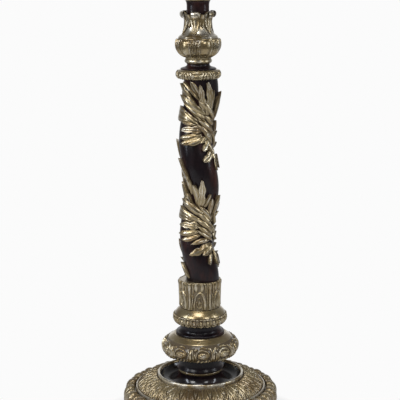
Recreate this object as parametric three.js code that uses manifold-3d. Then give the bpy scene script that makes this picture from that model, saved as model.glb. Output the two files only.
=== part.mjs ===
// Torchere candle stand: a carved, parcel-gilt and ebonised wooden stand with a
// twisted shaft. Millimetres, +Z up, standing on Z = 0 with its front towards -Y.
// The turned sections are threaded on two long dowels and glued face to face.
// Angles about the stand are in degrees from the front, growing towards +X.
import * as THREE from 'three';
import { mergeVertices } from 'three/addons/utils/BufferGeometryUtils.js';
import Module from 'manifold-3d';

// Joints between the turned sections
const GLUE_LINE = 0.3;
const LOWER_DOWEL_RADIUS = 16;
const UPPER_DOWEL_RADIUS = 11;
const FOOT_DOWEL_RADIUS = 9;
const SOCKET_DEPTH_IN_FOOT = 20;
const SOCKET_DEPTH_IN_PLINTH = 12;
const SOCKET_DEPTH_IN_SHAFT = 60;
const SOCKET_DEPTH_IN_FLARE = 40;
const TOP_TENON_RADIUS = 30;
const TOP_TENON_HEIGHT = 9;

// Feet and plinth
const FOOT_COUNT = 3;
const FOOT_INSET = 45;
const FOOT_RADIUS = 34;
const FOOT_PAD_RADIUS = 20;
const FOOT_NECK_RADIUS = 21;
const FOOT_HEIGHT = 48;
const FOOT_BELLY_HEIGHT = 19;
const FOOT_COLLAR_HEIGHT = 7;
const PLINTH_RADIUS = 191;
const PLINTH_EDGE_ROUND = 10;
const PLINTH_HEIGHT = 17.4;

// Carved base
const TORUS_RADIUS = 207;
const TORUS_UNDERSIDE_RADIUS = 189;
const TORUS_HEIGHT = 58;
const TORUS_WAIST_HEIGHT = 26.7;
const TORUS_CROWN_INSET = 19;
const SEAT_CLEARANCE = 2;
const TORUS_LOBES = 48;
const TORUS_LOBE_DEPTH = 5;
const BASE_SEAT_HEIGHT = 47.7;
const DOME_BEAD_RADIUS = 173.4;
const DOME_BEAD_WIDTH = 7;
const DOME_BEAD_HEIGHT = 13;
const DOME_EDGE_HEIGHT = 11;
const DOME_HEIGHT = 42;
const DOME_LEAVES = 24;
const DOME_LEAF_RIBS = 6;
const DOME_RIB_DEPTH = 5;
const WELL_RIM_RADIUS = 114.3;
const WELL_RIM_WIDTH = 8;
const WELL_RIM_HEIGHT = 38.7;
const WELL_SEAT_HEIGHT = 10;
const DISH_CENTRE_HEIGHT = 41;
const DISH_CENTRE_RADIUS = 57;
const DISH_FLOOR_HEIGHT = 13;
const DISH_FLOOR_RADIUS = 87;
const DISH_EDGE_HEIGHT = 31;

// Knop between the base and the shaft
const WAIST_BEAD_RADIUS = 58.5;
const WAIST_BEAD_HEIGHT = 9;
const LOWER_SCOTIA_HEIGHT = 39.8;
const LOWER_SCOTIA_FOOT_RADIUS = 61.5;
const LOWER_SCOTIA_NECK_RADIUS = 57;
const KNOP_RADIUS = 102.5;
const KNOP_SHOULDER_RADIUS = 90;
const KNOP_TOP_RADIUS = 66;
const KNOP_BOTTOM_RADIUS = 88;
const KNOP_HEIGHT = 55.3;
const KNOP_BELLY_HEIGHT = 23;
const KNOP_SHOULDER_HEIGHT = 42;
const KNOP_BAND_RADIUS = 95.5;
const KNOP_BAND_MARGIN = 2.3;
const KNOP_REPEATS = 10;
const KNOP_TURN = 3;
// From the middle of an oval, over its rim, to the middle of the leaf between ovals
const KNOP_CUTS = [0, 0, 1, 3, 1, 5.5, 0.5, 4, 0];
const UPPER_SCOTIA_HEIGHT = 30.1;
const UPPER_SCOTIA_FOOT_RADIUS = 63.5;
const UPPER_SCOTIA_NECK_RADIUS = 52.5;
const CUP_RING_RADIUS = 71.5;
const CUP_RING_UNDERSIDE_RADIUS = 61;
const CUP_RING_TOP_RADIUS = 53;
const CUP_RING_HEIGHT = 42.2;
const CUP_RING_BELLY_HEIGHT = 17;
const CUP_RING_LOBES = 18;
const CUP_RING_LOBE_DEPTH = 2.5;
const CUP_FOOT_RADIUS = 52;
const CUP_WALL = 3;
const CUP_HEIGHT = 74;
const CUP_HOLLOW = 2;
const CUP_LIP_HEIGHT = 8;
const CUP_LEAVES = 12;
const CUP_LEAF_DEPTH = 1.6;

// Twisted shaft: a round section whose centre turns about the stand's axis
const TWIST_RADIUS = 43;
const TWIST_OFFSET = 8;
const TWIST_PITCH = 252;
const TWIST_TURNS = 2.103;
const FRONT_GROOVE_TURNS = 0.726;

// Garland carved in the groove of the twist
const VINE_RADIUS = 7;
const VINE_JOINT_GAP = 1;
const END_MARGIN = 7;
const LEAF_THICKNESS = 6;
const LEAF_CURL = 8;

// Collar and vase above the shaft
const COLLAR_RADIUS = 58;
const COLLAR_BOTTOM_RADIUS = 51;
const COLLAR_HEIGHT = 23;
const COLLAR_BELLY_HEIGHT = 12;
const COLLAR_LOBES = 18;
const COLLAR_LOBE_DEPTH = 3;
const COLLAR_SCOTIA_FOOT_RADIUS = 45.5;
const COLLAR_SCOTIA_NECK_RADIUS = 29;
const COLLAR_SCOTIA_HEIGHT = 13.36;
const VASE_RING_RADIUS = 35.3;
const VASE_RING_HEIGHT = 13.4;
const BULB_RADIUS = 58.5;
const BULB_TOP_RADIUS = 51;
const BULB_BOTTOM_RADIUS = 33;
const BULB_HEIGHT = 52;
const BULB_BELLY_HEIGHT = 35.4;
const BULB_FOOT_HEIGHT = 8;
const BULB_FOOT_FLARE = 10;
const BULB_LOBES = 6;
const BULB_LOBE_DEPTH = 2.5;
const VASE_SHOULDER_RADIUS = 50;
const VASE_NECK_RADIUS = 31.5;
const VASE_HEIGHT = 45;
const VASE_LEAVES = 6;
const VASE_LEAF_TURN = -10.5;
const VASE_LEAF_RADIUS = 48;
const VASE_LEAF_WIDTH = 30;
const VASE_LEAF_RISE = 24;
const UPPER_NECK_RADIUS = 28.5;
const UPPER_NECK_TOP_RADIUS = 31.5;
const UPPER_NECK_HEIGHT = 46.4;
const UPPER_NECK_FLARE_HEIGHT = 9;

// Top
const TOP_BEAD_RADIUS = 36;
const TOP_BEAD_HEIGHT = 15.7;
const FLARE_NECK_RADIUS = 31;
const FLARE_RADIUS = 104;
const FLARE_HEIGHT = 80;
const FLARE_EDGE_HEIGHT = 8;
const BOARD_RADIUS = 138;
const BOARD_HEIGHT = 22;
const TOP_RIM_WIDTH = 13.7;
const TOP_RIM_HEIGHT = 20;
const TOP_RIM_SWELL_HEIGHT = 11;
const TOP_RIM_LOBES = 32;
const TOP_RIM_LOBE_DEPTH = 3;

// Fineness of the facets
const CURVE_STEPS = 2;
const SMALL_STEPS = 22;
const LARGE_STEPS = 48;
const SHAFT_STEPS = 18;
const SHAFT_RISE_STEPS = 26;
const LEAF_STEPS = 5;
const DOWEL_STEPS = 12;
const FOOT_STEPS = 14;
const BOARD_STEPS = 36;
const FLARE_STEPS = 28;
const VINE_STEP = 14;

const DEGREE = Math.PI / 180;
const FOOT_CIRCLE_RADIUS = PLINTH_RADIUS - FOOT_INSET;
const TOP_RIM_RADIUS = BOARD_RADIUS + GLUE_LINE + TOP_RIM_WIDTH;
const LOWER_BORE = LOWER_DOWEL_RADIUS + GLUE_LINE;
const UPPER_BORE = UPPER_DOWEL_RADIUS + GLUE_LINE;
const SHAFT_HEIGHT = TWIST_PITCH * TWIST_TURNS;

// Heights, worked out from the floor up
const PLINTH_FLOOR = FOOT_HEIGHT + GLUE_LINE;
const TORUS_FLOOR = PLINTH_FLOOR + PLINTH_HEIGHT + GLUE_LINE;
const DOME_FLOOR = TORUS_FLOOR + BASE_SEAT_HEIGHT + GLUE_LINE;
const WELL_FLOOR = DOME_FLOOR + WELL_SEAT_HEIGHT + GLUE_LINE;
const WAIST_BEAD_FLOOR = WELL_FLOOR + DISH_CENTRE_HEIGHT + GLUE_LINE;
const LOWER_SCOTIA_FLOOR = WAIST_BEAD_FLOOR + WAIST_BEAD_HEIGHT + GLUE_LINE;
const KNOP_FLOOR = LOWER_SCOTIA_FLOOR + LOWER_SCOTIA_HEIGHT + GLUE_LINE;
const UPPER_SCOTIA_FLOOR = KNOP_FLOOR + KNOP_HEIGHT + GLUE_LINE;
const CUP_RING_FLOOR = UPPER_SCOTIA_FLOOR + UPPER_SCOTIA_HEIGHT + GLUE_LINE;
const CUP_FLOOR = CUP_RING_FLOOR + CUP_RING_HEIGHT + GLUE_LINE;
const SHAFT_FLOOR = CUP_FLOOR + CUP_HEIGHT + GLUE_LINE;
const COLLAR_FLOOR = SHAFT_FLOOR + SHAFT_HEIGHT + GLUE_LINE;
const COLLAR_SCOTIA_FLOOR = COLLAR_FLOOR + COLLAR_HEIGHT + GLUE_LINE;
const VASE_RING_FLOOR = COLLAR_SCOTIA_FLOOR + COLLAR_SCOTIA_HEIGHT + GLUE_LINE;
const BULB_FLOOR = VASE_RING_FLOOR + VASE_RING_HEIGHT + GLUE_LINE;
const VASE_FLOOR = BULB_FLOOR + BULB_HEIGHT + GLUE_LINE;
const UPPER_NECK_FLOOR = VASE_FLOOR + VASE_HEIGHT + GLUE_LINE;
const TOP_BEAD_FLOOR = UPPER_NECK_FLOOR + UPPER_NECK_HEIGHT + GLUE_LINE;
const FLARE_FLOOR = TOP_BEAD_FLOOR + TOP_BEAD_HEIGHT + GLUE_LINE;
const BOARD_FLOOR = FLARE_FLOOR + FLARE_HEIGHT + GLUE_LINE;

const gilt = { color: 0x9c875a, roughness: 0.36, metalness: 0.9 };
const ebonised = { color: 0x1c1311, roughness: 0.32, metalness: 0 };
const bareWood = { color: 0xa88560, roughness: 0.75, metalness: 0 };

const stand = new THREE.Group();
stand.name = 'torchere_candle_stand';

function add(name, geometry, finish, height = 0) {
  const mesh = new THREE.Mesh(geometry, new THREE.MeshStandardMaterial(finish));
  mesh.name = name;
  mesh.position.z = height;
  stand.add(mesh);
  return mesh;
}

// A closed turned solid: the outline runs up the outside and back down the bore.
function turned(outline, steps = SMALL_STEPS, turn = 0) {
  const points = outline.getPoints(CURVE_STEPS);
  return new THREE.LatheGeometry(points, steps, turn * DEGREE).rotateX(Math.PI / 2);
}

// How deep the cut is at a place in a lobe, from 0 at its middle to 1 at its edge
function roundLobe(depth) {
  return (place) => depth * (1 - Math.cos((place * Math.PI) / 2));
}

// A cut that is listed at even steps from a lobe's middle to its edge
function listedCuts(cuts) {
  return (place) => cuts[Math.round(place * (cuts.length - 1))];
}

// Moves each point of a turned solid in towards the ring (radius, height) where
// the carver's cuts run, leaving the lobes between them at full size.
function carve(geometry, { lobes, turn = 0, cutAt, radius, height, from }) {
  const position = geometry.getAttribute('position');
  for (let i = 0; i < position.count; i += 1) {
    const [x, y, z] = [position.getX(i), position.getY(i), position.getZ(i)];
    const r = Math.hypot(x, y);
    if (r < from) continue;
    const passed = ((Math.atan2(x, -y) - turn * DEGREE) * lobes) / (Math.PI * 2);
    const place = Math.abs(passed - Math.round(passed)) * 2;
    const reach = Math.hypot(r - radius, z - height);
    const share = Math.max(0, 1 - cutAt(place) / reach);
    const newRadius = radius + (r - radius) * share;
    position.setXYZ(i, (x * newRadius) / r, (y * newRadius) / r, height + (z - height) * share);
  }
  return geometry;
}

const wasm = await Module();
wasm.setup();

function toSolid(geometry) {
  const bare = geometry.clone();
  bare.deleteAttribute('normal');
  bare.deleteAttribute('uv');
  const merged = mergeVertices(bare);
  const corners = [];
  const index = merged.getIndex().array;
  for (let i = 0; i < index.length; i += 3) {
    const [a, b, c] = [index[i], index[i + 1], index[i + 2]];
    if (a !== b && b !== c && c !== a) corners.push(a, b, c);
  }
  const mesh = new wasm.Mesh({
    numProp: 3,
    vertProperties: new Float32Array(merged.getAttribute('position').array),
    triVerts: new Uint32Array(corners),
  });
  return new wasm.Manifold(mesh);
}

function toGeometry(solid) {
  const mesh = solid.getMesh();
  const geometry = new THREE.BufferGeometry();
  geometry.setAttribute('position', new THREE.BufferAttribute(mesh.vertProperties, 3));
  geometry.setIndex(new THREE.BufferAttribute(mesh.triVerts, 1));
  geometry.computeVertexNormals();
  return geometry;
}

function cylinder(radius, floor, ceiling, x = 0, y = 0) {
  const height = ceiling - floor;
  return new THREE.CylinderGeometry(radius, radius, height, DOWEL_STEPS)
    .rotateX(Math.PI / 2)
    .translate(x, y, floor + height / 2);
}

// A carved leaf: one six-sided section after another along its midrib. Each
// station has a place, a side direction, an outward direction, a half width
// and a thickness; the face is fluted, so its midrib lies below its two ridges.
function leafSolid(stations) {
  const section = [[-1, 0.1], [0, -0.6], [1, 0.1], [0.5, 0.5], [0, 0.25], [-0.5, 0.5]];
  const vertices = [];
  for (const { place, side, out, halfWidth, thickness } of stations) {
    for (const [across, up] of section) {
      const point = place.clone()
        .addScaledVector(side, across * halfWidth)
        .addScaledVector(out, up * thickness);
      vertices.push(point.x, point.y, point.z);
    }
  }
  const count = section.length;
  const faces = [];
  for (let s = 0; s + 1 < stations.length; s += 1) {
    for (let k = 0; k < count; k += 1) {
      const [a, b] = [s * count + k, s * count + ((k + 1) % count)];
      faces.push(a, a + count, b, b, a + count, b + count);
    }
  }
  const last = (stations.length - 1) * count;
  for (let k = 1; k + 1 < count; k += 1) {
    faces.push(0, k, k + 1);
    faces.push(last, last + k + 1, last + k);
  }
  const geometry = new THREE.BufferGeometry();
  geometry.setAttribute('position', new THREE.BufferAttribute(new Float32Array(vertices), 3));
  geometry.setIndex(faces);
  return toSolid(geometry);
}

// Feet, each turned with a socket in its top, and the dowels that hold them
function footOutline() {
  const socket = FOOT_DOWEL_RADIUS + GLUE_LINE;
  const outline = new THREE.Path();
  outline.moveTo(0, 0);
  outline.lineTo(FOOT_PAD_RADIUS, 0);
  outline.quadraticCurveTo(FOOT_RADIUS, 0, FOOT_RADIUS, FOOT_BELLY_HEIGHT);
  outline.quadraticCurveTo(
    FOOT_RADIUS, FOOT_HEIGHT - FOOT_COLLAR_HEIGHT, FOOT_NECK_RADIUS, FOOT_HEIGHT - FOOT_COLLAR_HEIGHT);
  outline.lineTo(FOOT_NECK_RADIUS, FOOT_HEIGHT);
  outline.lineTo(socket, FOOT_HEIGHT);
  outline.lineTo(socket, FOOT_HEIGHT - SOCKET_DEPTH_IN_FOOT);
  outline.lineTo(0, FOOT_HEIGHT - SOCKET_DEPTH_IN_FOOT);
  return outline;
}

function footPlace(number) {
  const angle = (360 / FOOT_COUNT) * number * DEGREE;
  return [FOOT_CIRCLE_RADIUS * Math.sin(angle), -FOOT_CIRCLE_RADIUS * Math.cos(angle)];
}

for (let number = 0; number < FOOT_COUNT; number += 1) {
  const [x, y] = footPlace(number);
  const foot = add(`foot_${number + 1}`, turned(footOutline(), FOOT_STEPS), ebonised);
  foot.position.set(x, y, 0);
  const bottom = FOOT_HEIGHT - SOCKET_DEPTH_IN_FOOT + GLUE_LINE;
  const top = PLINTH_FLOOR + SOCKET_DEPTH_IN_PLINTH - GLUE_LINE;
  const dowel = cylinder(FOOT_DOWEL_RADIUS, bottom, top);
  add(`foot_dowel_${number + 1}`, dowel, bareWood).position.set(x, y, 0);
}

// Plinth board, with a blind socket above each foot and the long dowel's hole
function plinthBoard() {
  const outline = new THREE.Path();
  outline.moveTo(LOWER_BORE, 0);
  outline.lineTo(PLINTH_RADIUS - PLINTH_EDGE_ROUND, 0);
  outline.quadraticCurveTo(PLINTH_RADIUS, 0, PLINTH_RADIUS, PLINTH_EDGE_ROUND);
  outline.lineTo(PLINTH_RADIUS, PLINTH_HEIGHT);
  outline.lineTo(LOWER_BORE, PLINTH_HEIGHT);
  outline.lineTo(LOWER_BORE, 0);
  let board = toSolid(turned(outline, BOARD_STEPS));
  for (let number = 0; number < FOOT_COUNT; number += 1) {
    const socket = cylinder(
      FOOT_DOWEL_RADIUS + GLUE_LINE, -1, SOCKET_DEPTH_IN_PLINTH, ...footPlace(number));
    board = board.subtract(toSolid(socket));
  }
  return toGeometry(board);
}

add('plinth_board', plinthBoard(), ebonised, PLINTH_FLOOR);

// Carved base: the lobed torus round a flat seat, then the leaf dome on it
function baseTorus() {
  const seatEdge = DOME_BEAD_RADIUS + SEAT_CLEARANCE;
  const crown = TORUS_RADIUS - TORUS_CROWN_INSET;
  const outline = new THREE.Path();
  outline.moveTo(LOWER_BORE, 0);
  outline.lineTo(TORUS_UNDERSIDE_RADIUS, 0);
  outline.quadraticCurveTo(TORUS_RADIUS, 0, TORUS_RADIUS, TORUS_WAIST_HEIGHT);
  outline.quadraticCurveTo(TORUS_RADIUS, TORUS_HEIGHT, crown, TORUS_HEIGHT);
  outline.lineTo(seatEdge, (BASE_SEAT_HEIGHT + TORUS_HEIGHT) / 2);
  outline.lineTo(seatEdge, BASE_SEAT_HEIGHT);
  outline.lineTo(LOWER_BORE, BASE_SEAT_HEIGHT);
  outline.lineTo(LOWER_BORE, 0);
  return carve(turned(outline, TORUS_LOBES * 2), {
    lobes: TORUS_LOBES,
    cutAt: roundLobe(TORUS_LOBE_DEPTH),
    radius: TORUS_UNDERSIDE_RADIUS - TORUS_LOBE_DEPTH,
    height: TORUS_WAIST_HEIGHT,
    from: crown - TORUS_LOBE_DEPTH,
  });
}

function bead(bore, radius, height) {
  const land = Math.min(height / 2, (radius - bore) / 2);
  const outline = new THREE.Path();
  outline.moveTo(bore, 0);
  outline.lineTo(radius - land, 0);
  outline.quadraticCurveTo(radius, 0, radius, height / 2);
  outline.quadraticCurveTo(radius, height, radius - land, height);
  outline.lineTo(bore, height);
  outline.lineTo(bore, 0);
  return outline;
}

function leafDome() {
  const edge = DOME_BEAD_RADIUS - DOME_BEAD_WIDTH - GLUE_LINE * 2;
  const recess = WELL_RIM_RADIUS + GLUE_LINE;
  const outline = new THREE.Path();
  outline.moveTo(LOWER_BORE, 0);
  outline.lineTo(edge, 0);
  outline.lineTo(edge, DOME_EDGE_HEIGHT);
  outline.quadraticCurveTo((edge + recess) / 2, DOME_HEIGHT, recess, DOME_HEIGHT);
  outline.lineTo(recess, WELL_SEAT_HEIGHT);
  outline.lineTo(LOWER_BORE, WELL_SEAT_HEIGHT);
  outline.lineTo(LOWER_BORE, 0);
  const ribs = DOME_LEAVES * DOME_LEAF_RIBS;
  return carve(turned(outline, ribs * 2), {
    lobes: ribs,
    cutAt: roundLobe(DOME_RIB_DEPTH),
    radius: (edge + recess) / 2,
    height: 0,
    from: recess + GLUE_LINE,
  });
}

function wellRim() {
  const inner = WELL_RIM_RADIUS - WELL_RIM_WIDTH;
  const outline = new THREE.Path();
  outline.moveTo(inner, 0);
  outline.lineTo(WELL_RIM_RADIUS, 0);
  outline.lineTo(WELL_RIM_RADIUS, WELL_RIM_HEIGHT - WELL_RIM_WIDTH / 2);
  outline.quadraticCurveTo(WELL_RIM_RADIUS, WELL_RIM_HEIGHT, inner + WELL_RIM_WIDTH / 2, WELL_RIM_HEIGHT);
  outline.quadraticCurveTo(inner, WELL_RIM_HEIGHT, inner, WELL_RIM_HEIGHT - WELL_RIM_WIDTH / 2);
  outline.lineTo(inner, 0);
  return outline;
}

function wellDish() {
  const edge = WELL_RIM_RADIUS - WELL_RIM_WIDTH - GLUE_LINE;
  const outline = new THREE.Path();
  outline.moveTo(LOWER_BORE, 0);
  outline.lineTo(edge, 0);
  outline.lineTo(edge, DISH_EDGE_HEIGHT);
  outline.quadraticCurveTo(edge, DISH_FLOOR_HEIGHT, DISH_FLOOR_RADIUS, DISH_FLOOR_HEIGHT);
  outline.quadraticCurveTo(
    DISH_CENTRE_RADIUS, DISH_FLOOR_HEIGHT, DISH_CENTRE_RADIUS, DISH_CENTRE_HEIGHT);
  outline.lineTo(LOWER_BORE, DISH_CENTRE_HEIGHT);
  outline.lineTo(LOWER_BORE, 0);
  return outline;
}

add('base_torus', baseTorus(), gilt, TORUS_FLOOR);
const domeBeadOutline = bead(
  DOME_BEAD_RADIUS - DOME_BEAD_WIDTH, DOME_BEAD_RADIUS, DOME_BEAD_HEIGHT);
add('dome_bead', turned(domeBeadOutline, LARGE_STEPS), gilt, DOME_FLOOR);
add('leaf_dome', leafDome(), gilt, DOME_FLOOR);
add('well_rim', turned(wellRim(), LARGE_STEPS), gilt, WELL_FLOOR);
add('well_dish', turned(wellDish(), LARGE_STEPS), ebonised, WELL_FLOOR);
add('waist_bead', turned(bead(LOWER_BORE, WAIST_BEAD_RADIUS, WAIST_BEAD_HEIGHT)), gilt, WAIST_BEAD_FLOOR);

// Knop, between its two ebonised scotias, and the ring and leaf cup above it
function scotia(bore, footRadius, neckRadius, headRadius, height) {
  const outline = new THREE.Path();
  outline.moveTo(bore, 0);
  outline.lineTo(footRadius, 0);
  outline.quadraticCurveTo(neckRadius, 0, neckRadius, height / 2);
  outline.lineTo(headRadius, height);
  outline.lineTo(bore, height);
  outline.lineTo(bore, 0);
  return outline;
}

function knop() {
  const outline = new THREE.Path();
  outline.moveTo(LOWER_BORE, 0);
  outline.lineTo(KNOP_BOTTOM_RADIUS, 0);
  outline.lineTo(KNOP_BAND_RADIUS, KNOP_BAND_MARGIN);
  outline.quadraticCurveTo(
    KNOP_RADIUS, KNOP_BELLY_HEIGHT / 2, KNOP_RADIUS, KNOP_BELLY_HEIGHT);
  outline.lineTo(KNOP_BAND_RADIUS, KNOP_SHOULDER_HEIGHT - KNOP_BAND_MARGIN);
  outline.lineTo(KNOP_SHOULDER_RADIUS, KNOP_SHOULDER_HEIGHT);
  outline.quadraticCurveTo(
    KNOP_SHOULDER_RADIUS, KNOP_HEIGHT, KNOP_TOP_RADIUS, KNOP_HEIGHT);
  outline.lineTo(LOWER_BORE, KNOP_HEIGHT);
  outline.lineTo(LOWER_BORE, 0);
  const steps = KNOP_REPEATS * (KNOP_CUTS.length - 1) * 2;
  return carve(turned(outline, steps, KNOP_TURN), {
    lobes: KNOP_REPEATS,
    turn: KNOP_TURN,
    cutAt: listedCuts(KNOP_CUTS),
    radius: KNOP_TOP_RADIUS,
    height: KNOP_BELLY_HEIGHT,
    from: KNOP_SHOULDER_RADIUS + GLUE_LINE,
  });
}

function cupRing() {
  const outline = new THREE.Path();
  outline.moveTo(LOWER_BORE, 0);
  outline.lineTo(CUP_RING_UNDERSIDE_RADIUS, 0);
  outline.quadraticCurveTo(
    CUP_RING_RADIUS, CUP_RING_BELLY_HEIGHT / 2, CUP_RING_RADIUS, CUP_RING_BELLY_HEIGHT);
  outline.quadraticCurveTo(
    CUP_RING_RADIUS, CUP_RING_HEIGHT, CUP_RING_TOP_RADIUS, CUP_RING_HEIGHT);
  outline.lineTo(LOWER_BORE, CUP_RING_HEIGHT);
  outline.lineTo(LOWER_BORE, 0);
  return carve(turned(outline, CUP_RING_LOBES * 2), {
    lobes: CUP_RING_LOBES,
    cutAt: roundLobe(CUP_RING_LOBE_DEPTH),
    radius: LOWER_BORE,
    height: CUP_RING_BELLY_HEIGHT,
    from: CUP_RING_UNDERSIDE_RADIUS + CUP_RING_LOBE_DEPTH,
  });
}

// The cup stands as wide as the twisted shaft sweeps, with a lip of leaf tips
// round the shaft's foot.
function leafCup() {
  const sweep = TWIST_RADIUS + TWIST_OFFSET + GLUE_LINE * 2;
  const outer = sweep + CUP_WALL;
  const outline = new THREE.Path();
  outline.moveTo(LOWER_BORE, 0);
  outline.lineTo(CUP_FOOT_RADIUS, 0);
  outline.quadraticCurveTo(outer - CUP_HOLLOW, CUP_HEIGHT / 2, outer, CUP_HEIGHT);
  outline.lineTo(outer, CUP_HEIGHT + CUP_LIP_HEIGHT);
  outline.lineTo(sweep, CUP_HEIGHT + CUP_LIP_HEIGHT);
  outline.lineTo(sweep, CUP_HEIGHT);
  outline.lineTo(LOWER_BORE, CUP_HEIGHT);
  outline.lineTo(LOWER_BORE, 0);
  return carve(turned(outline, CUP_LEAVES * 3), {
    lobes: CUP_LEAVES,
    cutAt: roundLobe(CUP_LEAF_DEPTH),
    radius: LOWER_BORE,
    height: CUP_HEIGHT / 2,
    from: sweep + GLUE_LINE,
  });
}

add('lower_scotia', turned(scotia(
  LOWER_BORE, LOWER_SCOTIA_FOOT_RADIUS, LOWER_SCOTIA_NECK_RADIUS,
  LOWER_SCOTIA_NECK_RADIUS, LOWER_SCOTIA_HEIGHT)), ebonised, LOWER_SCOTIA_FLOOR);
add('knop', knop(), gilt, KNOP_FLOOR);
add('upper_scotia', turned(scotia(
  LOWER_BORE, UPPER_SCOTIA_FOOT_RADIUS, UPPER_SCOTIA_NECK_RADIUS,
  UPPER_SCOTIA_NECK_RADIUS, UPPER_SCOTIA_HEIGHT)), ebonised, UPPER_SCOTIA_FLOOR);
add('cup_ring', cupRing(), gilt, CUP_RING_FLOOR);
add('leaf_cup', leafCup(), gilt, CUP_FLOOR);

// Twisted shaft
function grooveAngle(rise) {
  return (FRONT_GROOVE_TURNS - rise / TWIST_PITCH) * 2 * Math.PI;
}

function twistCentre(rise) {
  const angle = grooveAngle(rise);
  return [-TWIST_OFFSET * Math.sin(angle), TWIST_OFFSET * Math.cos(angle)];
}

function twistedSolid(radius, bottom, top) {
  const height = top - bottom;
  const steps = Math.round((height / SHAFT_HEIGHT) * SHAFT_RISE_STEPS);
  const geometry = new THREE.CylinderGeometry(radius, radius, height, SHAFT_STEPS, steps)
    .rotateX(Math.PI / 2)
    .translate(0, 0, bottom + height / 2);
  const position = geometry.getAttribute('position');
  for (let i = 0; i < position.count; i += 1) {
    const [x, y] = twistCentre(position.getZ(i));
    position.setXY(i, position.getX(i) + x, position.getY(i) + y);
  }
  return toSolid(geometry);
}

function twistShaft() {
  const lowerSocket = cylinder(LOWER_BORE, -1, SOCKET_DEPTH_IN_SHAFT);
  const upperSocket = cylinder(UPPER_BORE, SHAFT_HEIGHT - SOCKET_DEPTH_IN_SHAFT, SHAFT_HEIGHT + 1);
  const shaft = twistedSolid(TWIST_RADIUS, 0, SHAFT_HEIGHT)
    .subtract(toSolid(lowerSocket))
    .subtract(toSolid(upperSocket));
  return toGeometry(shaft);
}

add('twist_shaft', twistShaft(), ebonised, SHAFT_FLOOR);

// Garland: leaves that spring from a vine lying in the groove. A place on the
// shaft is a turn in degrees, a rise above the shaft's foot and a lift off it.
function onShaft(turn, rise, lift) {
  const [x, y] = twistCentre(rise);
  const reach = TWIST_RADIUS + lift;
  return new THREE.Vector3(
    x + reach * Math.sin(turn * DEGREE), y - reach * Math.cos(turn * DEGREE), rise);
}

function garlandLeaf({ base, tip, width }) {
  const toMm = TWIST_RADIUS * DEGREE;
  const along = new THREE.Vector2((tip[0] - base[0]) * toMm, tip[1] - base[1]).normalize();
  const stations = [];
  for (let s = 0; s <= LEAF_STEPS; s += 1) {
    const t = s / LEAF_STEPS;
    const turn = base[0] + (tip[0] - base[0]) * t;
    const rise = base[1] + (tip[1] - base[1]) * t;
    const lift = LEAF_THICKNESS * 0.35 + LEAF_CURL * t * t;
    const out = onShaft(turn, rise, lift + 1).sub(onShaft(turn, rise, lift));
    const side = new THREE.Vector3(
      along.y * Math.cos(turn * DEGREE), along.y * Math.sin(turn * DEGREE), -along.x);
    stations.push({
      place: onShaft(turn, rise, lift),
      side,
      out,
      halfWidth: (width / 2) * Math.max(0.12, Math.sin(Math.PI * (0.12 + 0.84 * t))),
      thickness: LEAF_THICKNESS * (1 - 0.5 * t),
    });
  }
  return leafSolid(stations);
}

// One spray of the garland, as it lies where the groove faces the front. Each
// leaf springs from the vine at a rise above or below that place, and its tip
// is a turn in degrees and a rise from it. Rises and widths are in hundredths
// of the twist's pitch.
const SPRAY = [
  { spring: -2, tip: [12, 34], width: 14 },
  { spring: -12, tip: [62, 21], width: 8 },
  { spring: 8, tip: [-52, 35], width: 7 },
  { spring: 0, tip: [-82, 21], width: 7 },
  { spring: -8, tip: [-64, 10], width: 7 },
  { spring: -10, tip: [-84, -6], width: 11 },
  { spring: -13, tip: [-48, -24], width: 12 },
  { spring: -19, tip: [12, -40], width: 11 },
  { spring: -16, tip: [92, -9], width: 6 },
];

function garland(firstHalfTurn, lastHalfTurn) {
  const halfPitch = TWIST_PITCH / 2;
  const unit = TWIST_PITCH / 100;
  const lowest = FRONT_GROOVE_TURNS * TWIST_PITCH - halfPitch;
  const rises = [];
  for (let n = firstHalfTurn; n <= lastHalfTurn; n += 1) rises.push(lowest + n * halfPitch);
  const bottom = Math.max(END_MARGIN, rises[0] - halfPitch / 2 + VINE_JOINT_GAP);
  const top = Math.min(SHAFT_HEIGHT - END_MARGIN, rises.at(-1) + halfPitch / 2);
  const steps = Math.ceil((top - bottom) / VINE_STEP);
  const centres = [];
  for (let s = 0; s <= steps; s += 1) {
    const rise = bottom + ((top - bottom) * s) / steps;
    centres.push(onShaft(grooveAngle(rise) / DEGREE, rise, VINE_RADIUS * 0.5));
  }
  const round = new THREE.Shape();
  round.absarc(0, 0, VINE_RADIUS, 0, 2 * Math.PI);
  const vine = new THREE.ExtrudeGeometry(round, {
    extrudePath: new THREE.CatmullRomCurve3(centres),
    steps,
    curveSegments: 3,
    bevelEnabled: false,
  });
  let carving = toSolid(vine);
  for (const rise of rises) {
    const facing = grooveAngle(rise) / DEGREE;
    for (const leaf of SPRAY) {
      const springRise = rise + leaf.spring * unit;
      const tipRise = rise + leaf.tip[1] * unit;
      const lowEnd = Math.min(springRise, tipRise);
      const highEnd = Math.max(springRise, tipRise);
      if (lowEnd < END_MARGIN || highEnd > SHAFT_HEIGHT - END_MARGIN) continue;
      carving = carving.add(garlandLeaf({
        base: [grooveAngle(springRise) / DEGREE, springRise],
        tip: [facing + leaf.tip[0], tipRise],
        width: leaf.width * unit,
      }));
    }
  }
  const seat = twistedSolid(TWIST_RADIUS + GLUE_LINE, -GLUE_LINE, SHAFT_HEIGHT + GLUE_LINE);
  return toGeometry(carving.subtract(seat));
}

add('garland_lower', garland(0, 1), gilt, SHAFT_FLOOR);
add('garland_upper', garland(2, 3), gilt, SHAFT_FLOOR);

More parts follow.
